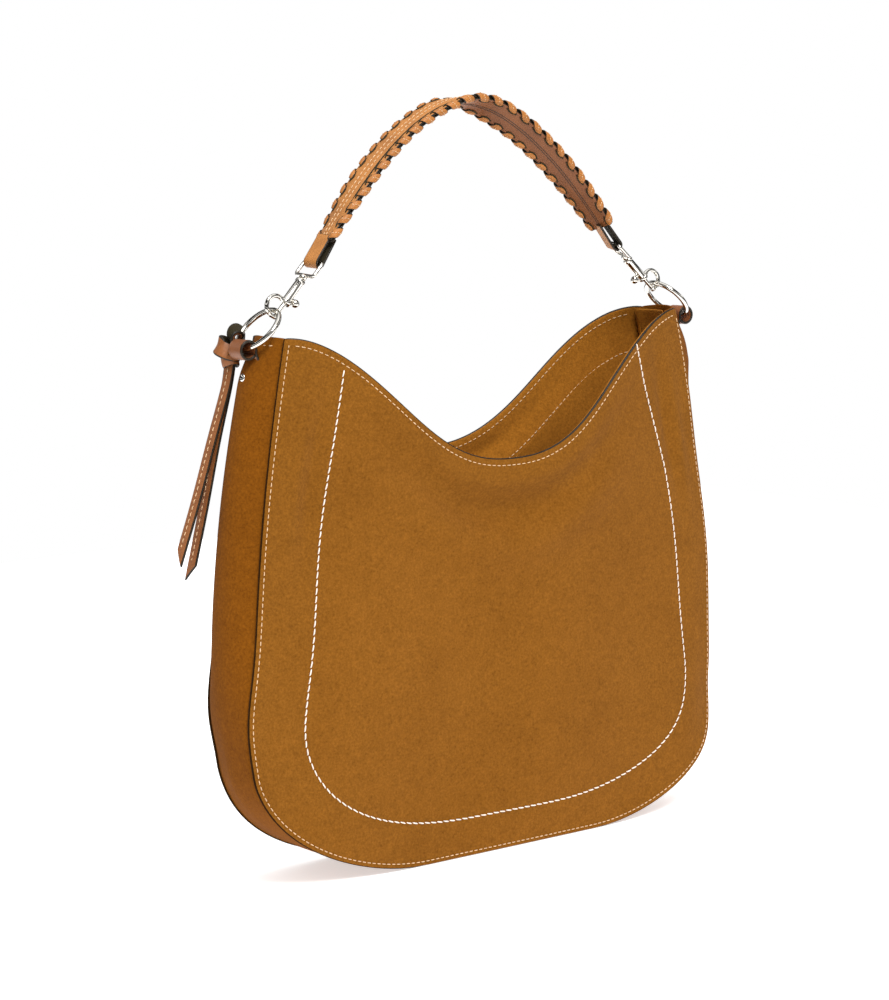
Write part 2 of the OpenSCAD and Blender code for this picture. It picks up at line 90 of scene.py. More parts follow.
def panel(x, z, side):
    """Point of a panel's outer face."""
    x, z = np.broadcast_arrays(np.asarray(x, float), np.asarray(z, float))
    u = np.clip(np.abs(x) / half_w(z), 0, 1)
    v = np.clip(z / rim_z(u), 0, 1)
    m = np.clip(np.cos(np.pi / 2 * u), 0, 1) ** MOUTH_POW
    d = seam_d(z)
    y = d / 2 + m * (BELLY * np.sin(np.pi * v) + v ** 2.5 * (TOP_D / 2 + MOUTH[side] - d / 2))
    y = y + creases(x, z, side)
    return np.stack([x, side * y, z], -1)


def panel_normal(x, z, side):
    """Unit normal of a panel's outer face, pointing out of the bag."""
    a = panel(x + 0.5, z, side) - panel(x - 0.5, z, side)
    b = panel(x, z + 0.5, side) - panel(x, z - 0.5, side)
    n = np.cross(a, b)
    n /= np.linalg.norm(n, axis=-1, keepdims=True)
    return n * np.where(n[..., 1:2] * side < 0, -1, 1)


def bow(z):
    """How far the gusset bulges at its middle: full above the base, and drawn in at the hem."""
    z = np.asarray(z, float)
    full = BULGE / (1 + np.exp(-(z - 140) / 17.0))
    return full * hill(np.clip(z - (H - 34), 0, None), 0, 34.6)


def outline(s):
    """Right half of the seam from the top corner (0) to the middle of the base (1), as x, z."""
    s = np.asarray(s, float)
    z1 = H - (H - WIDE_Z) * s / 0.5
    a = np.pi / 2 * np.clip((s - 0.5) / 0.35, 0, 1)
    x2 = BASE + (MAX_W / 2 - BASE) * np.cos(a) ** (2 / CORNER)
    z2 = WIDE_Z * (1 - np.sin(a) ** (2 / CORNER))
    x3 = BASE * np.clip((1 - s) / 0.15, 0, 1)
    x = np.where(s < 0.5, half_w(z1), np.where(s < 0.85, x2, x3))
    z = np.where(s < 0.5, z1, np.where(s < 0.85, z2, 0.0))
    return np.stack([x, z], -1)


def slump(p):
    """The filled bag leans out low on the left and is pulled in on the right."""
    p = np.array(p, float)
    x, y, z = p[:, 0], p[:, 1], p[:, 2]
    seam = half_w(np.clip(z, 0, H))
    inside = np.clip(seam - np.abs(x), 0, None)
    outside = np.clip(np.abs(x) - seam, 0, None)
    left, right = x < 0, x > 0
    back, front = np.clip(y / 25.0, 0, 1), np.clip(-y / 25.0, 0, 1)
    pull = 17.0 * hill(z, 95, np.where(z < 95, 48.0, 110.0)) + 5.0 * hill(z, 260, 60) + 5.0 * hill(z, 70, 26)
    pull = pull * np.exp(-(inside / 32.0) ** 1.5) * right
    near_seam = np.exp(-(inside / 40.0) ** 1.5) * left
    dx = -0.55 * pull - 5.3 * hill(z, 115, 35) * near_seam + 8.0 * hill(z, 78, 46) * near_seam * back
    dx = dx - 0.42 * outside * right * np.clip((330 - z) / 25.0, 0, 1)
    dy = 0.59 * pull * front
    p[:, 0] += dx
    p[:, 1] += dy
    p[:, 2] = np.maximum(z, 0)
    return p


# ---------------------------------------------------------------- materials
def lin(r, g, b):
    return tuple((c / 255 / 12.92) if c / 255 <= 0.04045 else ((c / 255 + 0.055) / 1.055) ** 2.4
                 for c in (r, g, b)) + (1.0,)


class Nodes:
    """Builds one procedural material."""

    def __init__(self, name):
        self.mat = bpy.data.materials.new(name)
        self.mat.use_nodes = True
        self.t = self.mat.node_tree
        self.bsdf = self.t.nodes["Principled BSDF"]
        self.coord = self.t.nodes.new("ShaderNodeTexCoord")

    def add(self, kind):
        return self.t.nodes.new(kind)

    def link(self, a, b):
        self.t.links.new(a, b)

    def noise(self, scale, detail=3.0, rough=0.55):
        n = self.add("ShaderNodeTexNoise")
        n.inputs["Scale"].default_value = scale
        n.inputs["Detail"].default_value = detail
        n.inputs["Roughness"].default_value = rough
        self.link(self.coord.outputs["Object"], n.inputs["Vector"])
        return n.outputs["Fac"]

    def voronoi(self, scale):
        n = self.add("ShaderNodeTexVoronoi")
        n.inputs["Scale"].default_value = scale
        self.link(self.coord.outputs["Object"], n.inputs["Vector"])
        return n.outputs["Distance"]

    def ramp(self, fac, stops):
        n = self.add("ShaderNodeValToRGB")
        e = n.color_ramp.elements
        while len(e) < len(stops):
            e.new(0.5)
        for i, (p, c) in enumerate(stops):
            e[i].position = p
            e[i].color = c
        self.link(fac, n.inputs["Fac"])
        return n.outputs["Color"]

    def mix(self, a, b, fac, blend="MIX"):
        n = self.add("ShaderNodeMix")
        n.data_type = "RGBA"
        n.blend_type = blend
        for v, s in ((fac, n.inputs[0]), (a, n.inputs[6]), (b, n.inputs[7])):
            if isinstance(v, bpy.types.NodeSocket):
                self.link(v, s)
            else:
                s.default_value = v
        return n.outputs[2]

    def bump(self, height, strength, distance, prior=None):
        n = self.add("ShaderNodeBump")
        n.inputs["Strength"].default_value = strength
        n.inputs["Distance"].default_value = distance
        self.link(height, n.inputs["Height"])
        if prior:
            self.link(prior, n.inputs["Normal"])
        return n.outputs["Normal"]

    def finish(self, color, rough, normal=None, metallic=0.0, sheen=0.0, spec=0.5):
        b = self.bsdf.inputs
        if isinstance(color, bpy.types.NodeSocket):
            self.link(color, b["Base Color"])
        else:
            b["Base Color"].default_value = color
        if isinstance(rough, bpy.types.NodeSocket):
            self.link(rough, b["Roughness"])
        else:
            b["Roughness"].default_value = rough
        if normal:
            self.link(normal, b["Normal"])
        b["Metallic"].default_value = metallic
        b["Sheen Weight"].default_value = sheen
        b["Sheen Roughness"].default_value = 0.6
        b["Specular IOR Level"].default_value = spec
        return self.mat


def suede(name, base, shade=1.0):
    k = Nodes(name)
    c = [v * shade for v in base[:3]]
    dark = (c[0] * 0.92, c[1] * 0.91, c[2] * 0.88, 1)
    light = (c[0] * 1.06, c[1] * 1.07, c[2] * 1.1, 1)
    cloud = k.ramp(k.noise(16.0, 5.0, 0.65), [(0.32, dark), (0.5, tuple(c) + (1,)), (0.7, light)])
    fine = k.ramp(k.noise(620.0, 3.0, 0.7), [(0.3, (0.72, 0.7, 0.66, 1)), (0.7, (1.24, 1.24, 1.27, 1))])
    nap = k.ramp(k.noise(170.0, 3.0, 0.65), [(0.3, (0.93, 0.92, 0.9, 1)), (0.7, (1.06, 1.06, 1.07, 1))])
    color = k.mix(k.mix(cloud, nap, 1.0, "MULTIPLY"), fine, 1.0, "MULTIPLY")
    normal = k.bump(k.noise(1300.0, 2.0), 0.35, 0.0004)
    normal = k.bump(k.noise(60.0, 3.0), 0.25, 0.0012, normal)
    return k.finish(color, 1.0, normal, sheen=0.02, spec=0.03)


def leather(name, base, rough=0.55, grain=420.0, strength=0.3, spec=0.4):
    k = Nodes(name)
    c = base[:3]
    dark = (c[0] * 0.8, c[1] * 0.76, c[2] * 0.7, 1)
    light = (min(1, c[0] * 1.14), min(1, c[1] * 1.16), min(1, c[2] * 1.22), 1)
    color = k.ramp(k.noise(70.0, 4.0, 0.6), [(0.3, dark), (0.5, tuple(c) + (1,)), (0.72, light)])
    spots = k.ramp(k.noise(grain * 2, 2.0), [(0.35, (0.88, 0.87, 0.85, 1)), (0.65, (1.06, 1.06, 1.06, 1))])
    color = k.mix(color, spots, 1.0, "MULTIPLY")
    normal = k.bump(k.voronoi(grain), strength, 0.0004)
    normal = k.bump(k.noise(40.0, 2.0), 0.15, 0.001, normal)
    return k.finish(color, rough, normal, sheen=0.05, spec=spec)


def edge_paint(name, base, rough=0.45):
    k = Nodes(name)
    c = base[:3]
    color = k.ramp(k.noise(160.0, 3.0), [(0.3, (c[0] * 0.6, c[1] * 0.6, c[2] * 0.6, 1)),
                                         (0.75, (c[0] * 1.7, c[1] * 1.6, c[2] * 1.4, 1))])
    return k.finish(color, rough, k.bump(k.noise(500.0), 0.25, 0.0003), spec=0.35)


def metal(name, base, rough=0.07):
    k = Nodes(name)
    c = base[:3]
    color = k.ramp(k.noise(25.0, 2.0), [(0.3, (c[0] * 0.94, c[1] * 0.94, c[2] * 0.94, 1)), (0.7, c + (1,))])
    r = k.ramp(k.noise(90.0, 3.0), [(0.3, (rough * 0.7,) * 3 + (1,)), (0.7, (rough * 1.5,) * 3 + (1,))])
    return k.finish(color, r, k.bump(k.noise(120.0), 0.03, 0.0002), metallic=1.0)


def thread(name, base):
    k = Nodes(name)
    c = base[:3]
    color = k.ramp(k.noise(900.0, 2.0), [(0.3, (c[0] * 0.8, c[1] * 0.8, c[2] * 0.78, 1)), (0.7, c + (1,))])
    return k.finish(color, 0.7, k.bump(k.noise(1500.0), 0.4, 0.0002), sheen=0.2, spec=0.2)


TAN = (0.2, 0.076, 0.0083, 1.0)
# The second tan is the panel tan made darker and deeper: painted shade for the gusset, whose sides are turned
# from the light.
TAN_SHADED_SIDE = (0.176, 0.056, 0.0032, 1.0)
SUEDE = suede("suede", TAN)
SUEDE_SHADED_SIDE = suede("suede_gusset_painted_shade", TAN_SHADED_SIDE)
# The inner suede is the panel suede made half again as bright: painted light for the inside of the bag, which
# the lamps reach little.
SUEDE_INNER_PAINTED_LIGHT = suede("suede_inner_painted_light", TAN, 1.5)
# The raw edges are the suede darkened to near black: painted shade for the dark line along the side and base
# seams.
RAW_EDGE_PAINTED_SHADE = suede("raw_edge_painted_shade", TAN, 0.12)
PAINT = edge_paint("edge_paint", lin(30, 22, 9))
# The lining is the panel suede made brighter by 1.4: painted light for the inside of the pocket.
LINING_PAINTED_LIGHT = suede("lining", TAN, 1.4)
STRAP = leather("strap_leather", lin(176, 114, 50), 0.55)
LACE = leather("lace_leather", lin(170, 106, 42), 0.5)
UNDER = leather("smooth_leather", lin(122, 68, 24), 0.5, 700.0, 0.15)
# This dark leather is the real flesh side, and it also colours the lace slits, where it is painted shade.
FLESH_AND_SLIT_SHADE = leather("dark_flesh_side_and_slit_shade", lin(46, 38, 16), 0.8, 900.0, 0.4, 0.2)
TAB = leather("tab_leather", lin(132, 76, 34), 0.42, 600.0, 0.2)
TASSEL = leather("tassel_leather", lin(140, 82, 34), 0.48)
CHROME = metal("chrome", (0.74, 0.71, 0.65))
STEEL = metal("spring_steel", (0.6, 0.6, 0.62), 0.25)
THREAD = thread("thread", lin(226, 188, 144))
THREAD_WHITE = thread("thread_white", lin(248, 236, 222))
THREAD_DARK = thread("thread_dark", lin(58, 36, 14))
BOARD = leather("board", lin(60, 60, 62), 0.8)


# ---------------------------------------------------------------- mesh building
def put(name, verts, faces, mats, body, slot, replaces=(), index=None, angle=40.0):
    verts = slump(verts) if body == "bag" else np.asarray(verts, float)
    me = bpy.data.meshes.new(name)
    me.from_pydata([tuple(v) for v in (verts / 1000.0)], [], [tuple(f) for f in faces])
    me.validate()
    me.update()
    ob = bpy.data.objects.new(name, me)
    bpy.context.scene.collection.objects.link(ob)
    for m in mats if isinstance(mats, (list, tuple)) else [mats]:
        me.materials.append(m)
    if index is not None:
        me.polygons.foreach_set("material_index", np.asarray(index, np.int32))
    me.polygons.foreach_set("use_smooth", np.ones(len(me.polygons), bool))
    me.set_sharp_from_angle(angle=math.radians(angle))
    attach(ob, body)
    if replaces:
        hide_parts(*replaces)
    return ob


def unit(v):
    v = np.asarray(v, float)
    return v / np.maximum(np.linalg.norm(v, axis=-1, keepdims=True), 1e-12)


def grid_normals(g, outward):
    n = unit(np.cross(np.gradient(g, axis=1), np.gradient(g, axis=0)))
    return n if (n * outward).sum() > 0 else -n


def sheet_data(g, thick, outward, round_k=0.4):
    """Closed soft sheet: g is its outer face as rows of points; the border is rounded.
    Returns points, faces and a material number for each face: 0 outer, 1 edge, 2 inner."""
    g = np.asarray(g, float)
    m, n, _ = g.shape
    nrm = grid_normals(g, outward)
    inner = g - nrm * thick
    loop = ([(0, j) for j in range(n)] + [(i, n - 1) for i in range(1, m)]
            + [(m - 1, j) for j in range(n - 2, -1, -1)] + [(i, 0) for i in range(m - 2, 0, -1)])
    li = np.array([i * n + j for i, j in loop])
    near = np.array([min(max(i, 1), m - 2) * n + min(max(j, 1), n - 2) for i, j in loop])
    flat, fn = g.reshape(-1, 3), nrm.reshape(-1, 3)
    b, bn = flat[li], fn[li]
    tang = unit(np.roll(b, -1, 0) - np.roll(b, 1, 0))
    out = unit(np.cross(tang, bn))
    if ((b - flat[near]) * out).sum() < 0:
        out = -out
    pts = [flat, inner.reshape(-1, 3)]
    rings = []
    base = 2 * m * n
    for depth, push in ((0.14, 0.28), (0.5, 0.4), (0.86, 0.28)):
        pts.append(b - bn * thick * depth + out * thick * push * round_k / 0.4)
        rings.append(np.arange(base, base + len(li)))
        base += len(li)
    pts = np.concatenate(pts)
    faces, index = [], []
    flip = (np.cross(g[0, 1] - g[0, 0], g[1, 0] - g[0, 0]) * nrm[0, 0]).sum() < 0
    for i in range(m - 1):
        for j in range(n - 1):
            a = i * n + j
            q = (a, a + 1, a + n + 1, a + n)
            k = tuple(v + m * n for v in q)
            faces.append(q[::-1] if flip else q)
            index.append(0)
            faces.append(k if flip else k[::-1])
            index.append(2)
    bands = [li] + rings + [li + m * n]
    for a, b2 in zip(bands[:-1], bands[1:]):
        for i in range(len(li)):
            k = (i + 1) % len(li)
            q = (a[i], b2[i], b2[k], a[k])
            faces.append(q[::-1] if flip else q)
            index.append(1)
    return pts, faces, index


def rim_only(index, m, n):
    """Edge faces keep the paint only along the last row; the others are left raw, in the near-black colour of
    painted seam shade.
    """
    index = list(index)
    loop = 2 * (m + n) - 4
    for k in range(len(index)):
        spot = (k - 2 * (m - 1) * (n - 1)) % loop
        if index[k] == 1 and not n + m - 2 <= spot < 2 * n + m - 3:
            index[k] = 3
    return index


def merge(parts):
    pts, faces, index, at = [], [], [], 0
    for p, f, i in parts:
        pts.append(p)
        faces += [tuple(v + at for v in q) for q in f]
        index += list(i)
        at += len(p)
    return np.concatenate(pts), faces, index


def sheet(name, g, thick, outward, mats, body, slot, replaces=(), angle=50.0):
    p, f, i = sheet_data(g, thick, np.asarray(outward, float))
    return put(name, p, f, mats, body, slot, replaces, i, angle)


def frames(path, first):
    """Directions carried along a path without twist."""
    t = unit(np.gradient(path, axis=0))
    side = np.zeros_like(path)
    s = np.asarray(first, float)
    for i in range(len(path)):
        s = s - t[i] * (s @ t[i])
        s = s / np.linalg.norm(s)
        side[i] = s
    return t, side, np.cross(t, side)


def tube_data(path, radius, closed=False, sides=12, first=(0.13, 0.27, 0.95)):
    path = np.asarray(path, float)
    m = len(path)
    if closed:
        ext = np.concatenate([path[-1:], path, path[:1]])
        t, s, b = (v[1:-1] for v in frames(ext, first))
    else:
        t, s, b = frames(path, first)
    r = np.broadcast_to(np.asarray(radius, float), (m,))
    a = np.linspace(0, 2 * np.pi, sides, endpoint=False)
    ring = (path[:, None] + r[:, None, None]
            * (np.cos(a)[None, :, None] * s[:, None] + np.sin(a)[None, :, None] * b[:, None]))
    pts = ring.reshape(-1, 3)
    faces = []
    for i in range(m if closed else m - 1):
        k = (i + 1) % m
        for j in range(sides):
            q = (j + 1) % sides
            faces.append((i * sides + j, i * sides + q, k * sides + q, k * sides + j))
    if not closed:
        faces.append(tuple(range(sides))[::-1])
        faces.append(tuple((m - 1) * sides + j for j in range(sides)))
    return pts, faces, [0] * len(faces)


def lathe_data(profile, sides=40):
    """Closed turned body about local Z; the profile runs from the axis to the axis."""
    prof = [(max(r, 0.0), z) for r, z in profile]
    a = np.linspace(0, 2 * np.pi, sides, endpoint=False)
    pts, rows = [], []
    for r, z in prof:
        if r < 1e-6:
            rows.append([len(pts)])
            pts.append((0, 0, z))
        else:
            rows.append(list(range(len(pts), len(pts) + sides)))
            pts += [(r * math.cos(t), r * math.sin(t), z) for t in a]
    faces = []
    for p, q in zip(rows[:-1], rows[1:]):
        for i in range(sides):
            k = (i + 1) % sides
            if len(p) == 1:
                faces.append((p[0], q[k], q[i]))
            elif len(q) == 1:
                faces.append((p[i], p[k], q[0]))
            else:
                faces.append((p[i], p[k], q[k], q[i]))
    return np.array(pts, float), faces, [0] * len(faces)


def moved(data, m):
    """Data placed by a 4 x 4 matrix; a mirroring matrix also turns the faces."""
    p, f, i = data
    q = p @ m[:3, :3].T + m[:3, 3]
    if np.linalg.det(m[:3, :3]) < 0:
        f = [t[::-1] for t in f]
    return q, f, i


def basis(x, y, z, o):
    m = np.eye(4)
    m[:3, 0], m[:3, 1], m[:3, 2], m[:3, 3] = x, y, z, o
    return m


def stitches(name, path, normal, pitch, length, radius, mat, body, slot, skip=0.0, tilt=0.0):
    """A row of raised stitches along a path on a surface."""
    path, normal = np.asarray(path, float), unit(normal)
    run = np.concatenate([[0], np.cumsum(np.linalg.norm(np.diff(path, axis=0), axis=1))])
    count = int((run[-1] - 2 * skip) / pitch)
    parts = []
    steps = np.array([-0.5, -0.42, -0.2, 0.2, 0.42, 0.5]) * length
    rise = np.array([-0.25, 0.1, 0.35, 0.35, 0.1, -0.25]) * radius * 2
    size = np.array([0.35, 0.8, 1.0, 1.0, 0.8, 0.35]) * radius
    for c in range(count + 1):
        mid = skip + (run[-1] - 2 * skip) * c / max(count, 1)
        at = np.clip(mid + steps, 0, run[-1])
        p = np.stack([np.interp(at, run, path[:, k]) for k in range(3)], 1)
        n = unit(np.stack([np.interp(at, run, normal[:, k]) for k in range(3)], 1))
        side = unit(np.cross(unit(p[-1] - p[0]), n[2]))
        lean = tilt * np.linspace(-0.5, 0.5, len(steps))[:, None] * side
        if np.linalg.norm(p[-1] - p[0]) < 0.5 * length:
            continue
        q = p + n * rise[:, None] + lean
        parts.append(tube_data(q, size, sides=6, first=n[2]))
    p, f, i = merge(parts)
    return put(name, p, f, mat, body, slot, angle=80)


# ---------------------------------------------------------------- panels, gusset, facings, lining
FINE = (4.2, 2.8, 0.34)   # pitch, length and radius of a fine stitch
HEM = (4.2, 2.8, 0.42)    # the same for the thicker stitches of the gusset's hem
ROW_IN = 4.2              # rows of stitches lie this far below a rim
FACING_GAP = 0.15


def on_panel(u, drop):
    """x and z of points at the share u of the half width, a drop below the rim."""
    z = rim_z(u) - drop
    return u * half_w(z), z


def panel_piece(name, side):
    cols = np.linspace(-1, 1, 121)
    cols = np.sign(cols) * (1 - (1 - np.abs(cols)) ** 1.15)
    U, V = np.meshgrid(cols, np.linspace(0, 1, 111) ** 1.35)
    Z = V * rim_z(U)
    g = panel(U * half_w(Z), Z, side)
    p, f, i = sheet_data(g, PANEL_T, np.array([0, side, 0.0]))
    put(name + "_panel_suede", p, f, [SUEDE, PAINT, SUEDE_INNER_PAINTED_LIGHT, RAW_EDGE_PAINTED_SHADE], "bag", "suede", (name + "_panel",),
        rim_only(i, *g.shape[:2]), 50)


def facing_piece(name, side):
    """The strip inside a rim."""
    U, D = np.meshgrid(np.linspace(-0.975, 0.975, 101), np.linspace(FACING_H, 0.6, 16))
    X, Z = on_panel(U, D)
    n = panel_normal(X, Z, side)
    g = panel(X, Z, side) - n * (PANEL_T + FACING_GAP)
    sheet(name + "_facing_suede", g - n * FACING_T, FACING_T, (0, -side, 0), [SUEDE_INNER_PAINTED_LIGHT] * 3,
          "bag", "suede", (name + "_facing",))


def row_on_panel(name, x, z, side, size, mat, tilt=0.0):
    stitches(name, panel(x, z, side), panel_normal(x, z, side), *size, mat, "bag", "suede", tilt=tilt)


def seam_row(name, side):
    """Stitches along the seam with the gusset."""
    s = np.concatenate([np.linspace(0, 0.5, 160), np.linspace(0.503, 0.85, 120), np.linspace(0.855, 1, 40)])
    o = outline(s)
    dirs = unit(np.gradient(o, axis=0))
    inset = o + 2.7 * np.stack([dirs[:, 1], -dirs[:, 0]], 1)
    if inset[0, 0] > o[0, 0]:
        inset = 2 * o - inset
    inset = inset[inset[:, 1] < rim_z(inset[:, 0] / half_w(inset[:, 1])) - 4]
    x, z = np.concatenate([inset, (inset * [-1, 1])[::-1]]).T
    row_on_panel(name + "_seam_stitches", x, z, side, FINE, THREAD)


def facing_row(name, side, drop, tag):
    x, z = on_panel(np.linspace(-0.962, 0.962, 400), drop)
    n = panel_normal(x, z, side)
    p = panel(x, z, side) - n * (PANEL_T + FACING_GAP + FACING_T)
    stitches(name + "_facing_stitches_" + tag, p, -n, *FINE, THREAD, "bag", "suede")


def u_row(name, side):
    """The long U of white stitches: two flanks that close in upwards, joined by round corners."""
    flank_z, corner_x, corner_z, half, low = 108.0, 30.0, 26.5, 171.3, 30
    zt = np.linspace(352, flank_z, 200)
    xt = half - 37.3 * ((zt - flank_z) / 242.0) ** 1.3
    a = np.linspace(0, np.pi / 2, 160)
    xb = corner_x + (half - corner_x) * np.cos(a) ** (2 / 2.3)
    zb = flank_z - (flank_z - corner_z) * np.sin(a) ** (2 / 2.3)
    xs = np.concatenate([xt, xb[1:], np.linspace(corner_x, 0, low)[1:]])
    zs = np.concatenate([zt, zb[1:], np.full(low - 1, corner_z)])
    keep = zs < rim_z(xs / half_w(zs)) - 4.5
    xs, zs = xs[keep], zs[keep]
    x, z = np.concatenate([xs, -xs[::-1]]), np.concatenate([zs, zs[::-1]])
    x = x - np.where(x > 0, 13.0 * np.clip((z - 255) / 95.0, 0, 1) ** 1.2, 0)
    row_on_panel(name + "_u_stitches", x, z, side, (5.4, 4.5, 0.5), THREAD_WHITE, tilt=0.9)


for side, name in ((-1, "front"), (1, "back")):
    panel_piece(name, side)
    facing_piece(name, side)
    seam_row(name, side)
    rim = on_panel(np.linspace(-0.975, 0.975, 400), ROW_IN)
    row_on_panel(name + "_rim_stitches", *rim, side, FINE, THREAD)
    facing_row(name, side, ROW_IN, "top")
    facing_row(name, side, FACING_H - 5.5, "low")
    u_row(name, side)

# gusset: a strip round the sides and base, its edges turned in behind the panels
ACROSS = [-1.0, -0.985, -0.93, -0.84, -0.7, -0.5, -0.25, 0, 0.25, 0.5, 0.7, 0.84, 0.93, 0.985, 1.0]


def gusset_half(z):
    """Half width of the gusset between the panels."""
    return float(seam_d(z)) / 2 - PANEL_T - 0.1


def gusset_row(p, q, sx):
    w = gusset_half(p[1])
    sag = 0.9 * math.sin(p[1] / 33.0 + sx) * hill(p[1], 190, 120)
    pts = [(-w, -8.0), (-w, -4.0)]
    for k in ACROSS:
        drop = 1.3 * (1 - math.sqrt(max(0.0, 1 - abs(k) ** 24)))
        pts.append((k * w, (bow(p[1]) + sag) * (1 - abs(k) ** 2.2) - drop))
    pts += [(w, -4.0), (w, -8.0)]
    return [(sx * (p[0] + q[0] * e), y, p[1] + q[1] * e) for y, e in pts]


def gusset_piece():
    s = np.concatenate([np.linspace(0, 0.495, 90), np.linspace(0.5, 0.85, 60), np.linspace(0.865, 1, 12)])
    o = outline(s)
    d = unit(np.gradient(o, axis=0))
    out = np.stack([-d[:, 1], d[:, 0]], 1)
    if out[0, 0] < 0:
        out = -out
    g = [gusset_row(p, q, 1) for p, q in zip(o, out)]
    g = np.array(g + [gusset_row(p, q, -1) for p, q in zip(o[-2::-1], out[-2::-1])])
    from_middle = (g - np.array([0, 0, 200.0])) * np.array([1, 0, 1])
    # the gusset's outer faces take the darker suede of painted shade
    sheet("gusset_suede", g, GUSSET_T, from_middle, [SUEDE_SHADED_SIDE, SUEDE_SHADED_SIDE, SUEDE_INNER_PAINTED_LIGHT], "bag", "gusset_suede",
          ("gusset",), 60)


def gusset_hem_row(sx, tag):
    z, count = H - ROW_IN, 60
    full = gusset_half(z)
    w = full - 2.4
    ks = np.linspace(-1, 1, count)
    xs = float(half_w(z)) + float(bow(z)) * (1 - np.abs(ks * w / full) ** 2.2)
    path = np.stack([sx * xs, ks * w, np.full(count, z)], 1)
    nn = np.stack([np.full(count, sx * 1.0), ks * 0.3, np.zeros(count)], 1)
    stitches("gusset_hem_stitches_" + tag, path, nn, *HEM, THREAD, "bag", "gusset_suede")


def gusset_facing_piece(sx, tag):
    ks = np.linspace(-1, 1, 13)
    grid = []
    for z in np.linspace(H - 46, H - 1.2, 22):
        w = float(seam_d(z)) / 2 - 3.8
        x = float(half_w(z)) - 12.5
        grid.append([(sx * (x + float(bow(z)) * (1 - k * k / 2)), k * w, z) for k in ks])
    sheet("gusset_facing_suede_" + tag, np.array(grid), 1.2, (sx, 0, 0), [SUEDE_INNER_PAINTED_LIGHT] * 3, "bag",
          "suede", ("gusset_facing_" + tag,))


gusset_piece()
for sx, tag in ((-1, "left"), (1, "right")):
    gusset_hem_row(sx, tag)
    gusset_facing_piece(sx, tag)

# lining pocket
LIN_OFF, LIN_Z, LIN_TOP = 5.2, 6.4, FACING_H - 2.5
LIN_T = 0.7


def lining_ring(v, off, z0, draw):
    """One level of the pocket: front, right side, back, left side."""
    t = np.linspace(-1, 1, 61) * draw
    ends = []
    for side in (-1, 1):
        z = z0 + v * (rim_z(t) - LIN_TOP - z0)
        p = panel(t * (half_w(z - 5) - 11), z, side)
        p[:, 1] -= side * off
        ends.append(p)
    a, b = ends
    steps = (0.2, 0.4, 0.6, 0.8)
    across = [a[-1] + (b[-1] - a[-1]) * k for k in steps]
    back = [b[0] + (a[0] - b[0]) * k for k in steps]
    return np.concatenate([a, across, b[::-1], back])


def lining_piece():
    levels = np.linspace(0, 1, 50) ** 1.2
    outer = np.array([lining_ring(v, LIN_OFF, LIN_Z, 1.0) for v in levels])
    inner = np.array([lining_ring(v, LIN_OFF + LIN_T, LIN_Z + LIN_T, 0.992) for v in levels])
    m, n, _ = outer.shape
    pts = np.concatenate([outer.reshape(-1, 3), inner.reshape(-1, 3), [outer[0].mean(0)], [inner[0].mean(0)]])
    faces = []
    for i in range(m - 1):
        for j in range(n):
            a, b = i * n + j, i * n + (j + 1) % n
            faces.append((a, b, b + n, a + n))
            a, b = a + m * n, b + m * n
            faces.append((a, a + n, b + n, b))
    for j in range(n):
        k = (j + 1) % n
        a, b = (m - 1) * n + j, (m - 1) * n + k
        faces.append((a, b, b + m * n, a + m * n))
        faces.append((k, j, 2 * m * n))
        faces.append((m * n + j, m * n + k, 2 * m * n + 1))
    put("lining_pocket", pts, faces, LINING_PAINTED_LIGHT, "bag", "lining", ("lining",))


lining_piece()

# ---------------------------------------------------------------- hardware, drawn on the right and mirrored
S2 = math.sqrt(0.5)
UP, OUT, YY = np.array([-S2, 0, S2]), np.array([S2, 0, S2]), np.array([0, 1.0, 0])
tab_z = H - 6.5
tab_x = float(half_w(tab_z)) + 19.2
TABC = np.array([tab_x, 0, tab_z])
RING_R, RING_W = 17.0, 1.9
RING_C = TABC + UP * (1 + RING_R)
HOOK_LOW = TABC + UP * (1 + 2 * RING_R - RING_W - 1.5 - 0.2)
HOOK_R, HOOK_OFF, HOOK_DOWN = 7.0, 4.0, 27.5
SNAP_O = HOOK_LOW - HOOK_OFF * OUT + (HOOK_DOWN + HOOK_R) * UP
PIVOT = HOOK_LOW[2] - 1.5
LEAN = math.radians(4)
BAR_Z, TAB_LEN, SLOPE = 15.6, 17.0, math.radians(53)
TURN = {-1: math.radians(14), 1: math.radians(18)}
MIRROR = np.diag([-1.0, 1.0, 1.0, 1.0])


def lean_m():
    c, s = math.cos(LEAN), math.sin(LEAN)
    m = np.eye(4)
    m[1, 1], m[1, 2], m[2, 1], m[2, 2] = c, s, -s, c
    m[:3, 3] = np.array([0, 0, PIVOT]) - m[:3, :3] @ np.array([0, 0, PIVOT])
    return m


LEAN_M = lean_m()
SNAP_M = LEAN_M @ basis(OUT, YY, UP, SNAP_O)


def sided(m, sx):
    return MIRROR @ m if sx < 0 else m


def arc(cx, cz, r, a0, a1, n=40):
    a = np.radians(np.linspace(a0, a1, n))
    return np.stack([cx + r * np.cos(a), np.zeros(n), cz + r * np.sin(a)], 1)


BAG_TAB_W, TAB_T = 7.0, 1.9    # half width and thickness of a ring tab


def chrome(name, data, m, sx, body, replaces=()):
    """A metal piece drawn in the frame m, mirrored for the left side."""
    p, f, _ = moved(data, sided(m, sx))
    put(name, p, f, CHROME, body, "chrome", replaces)


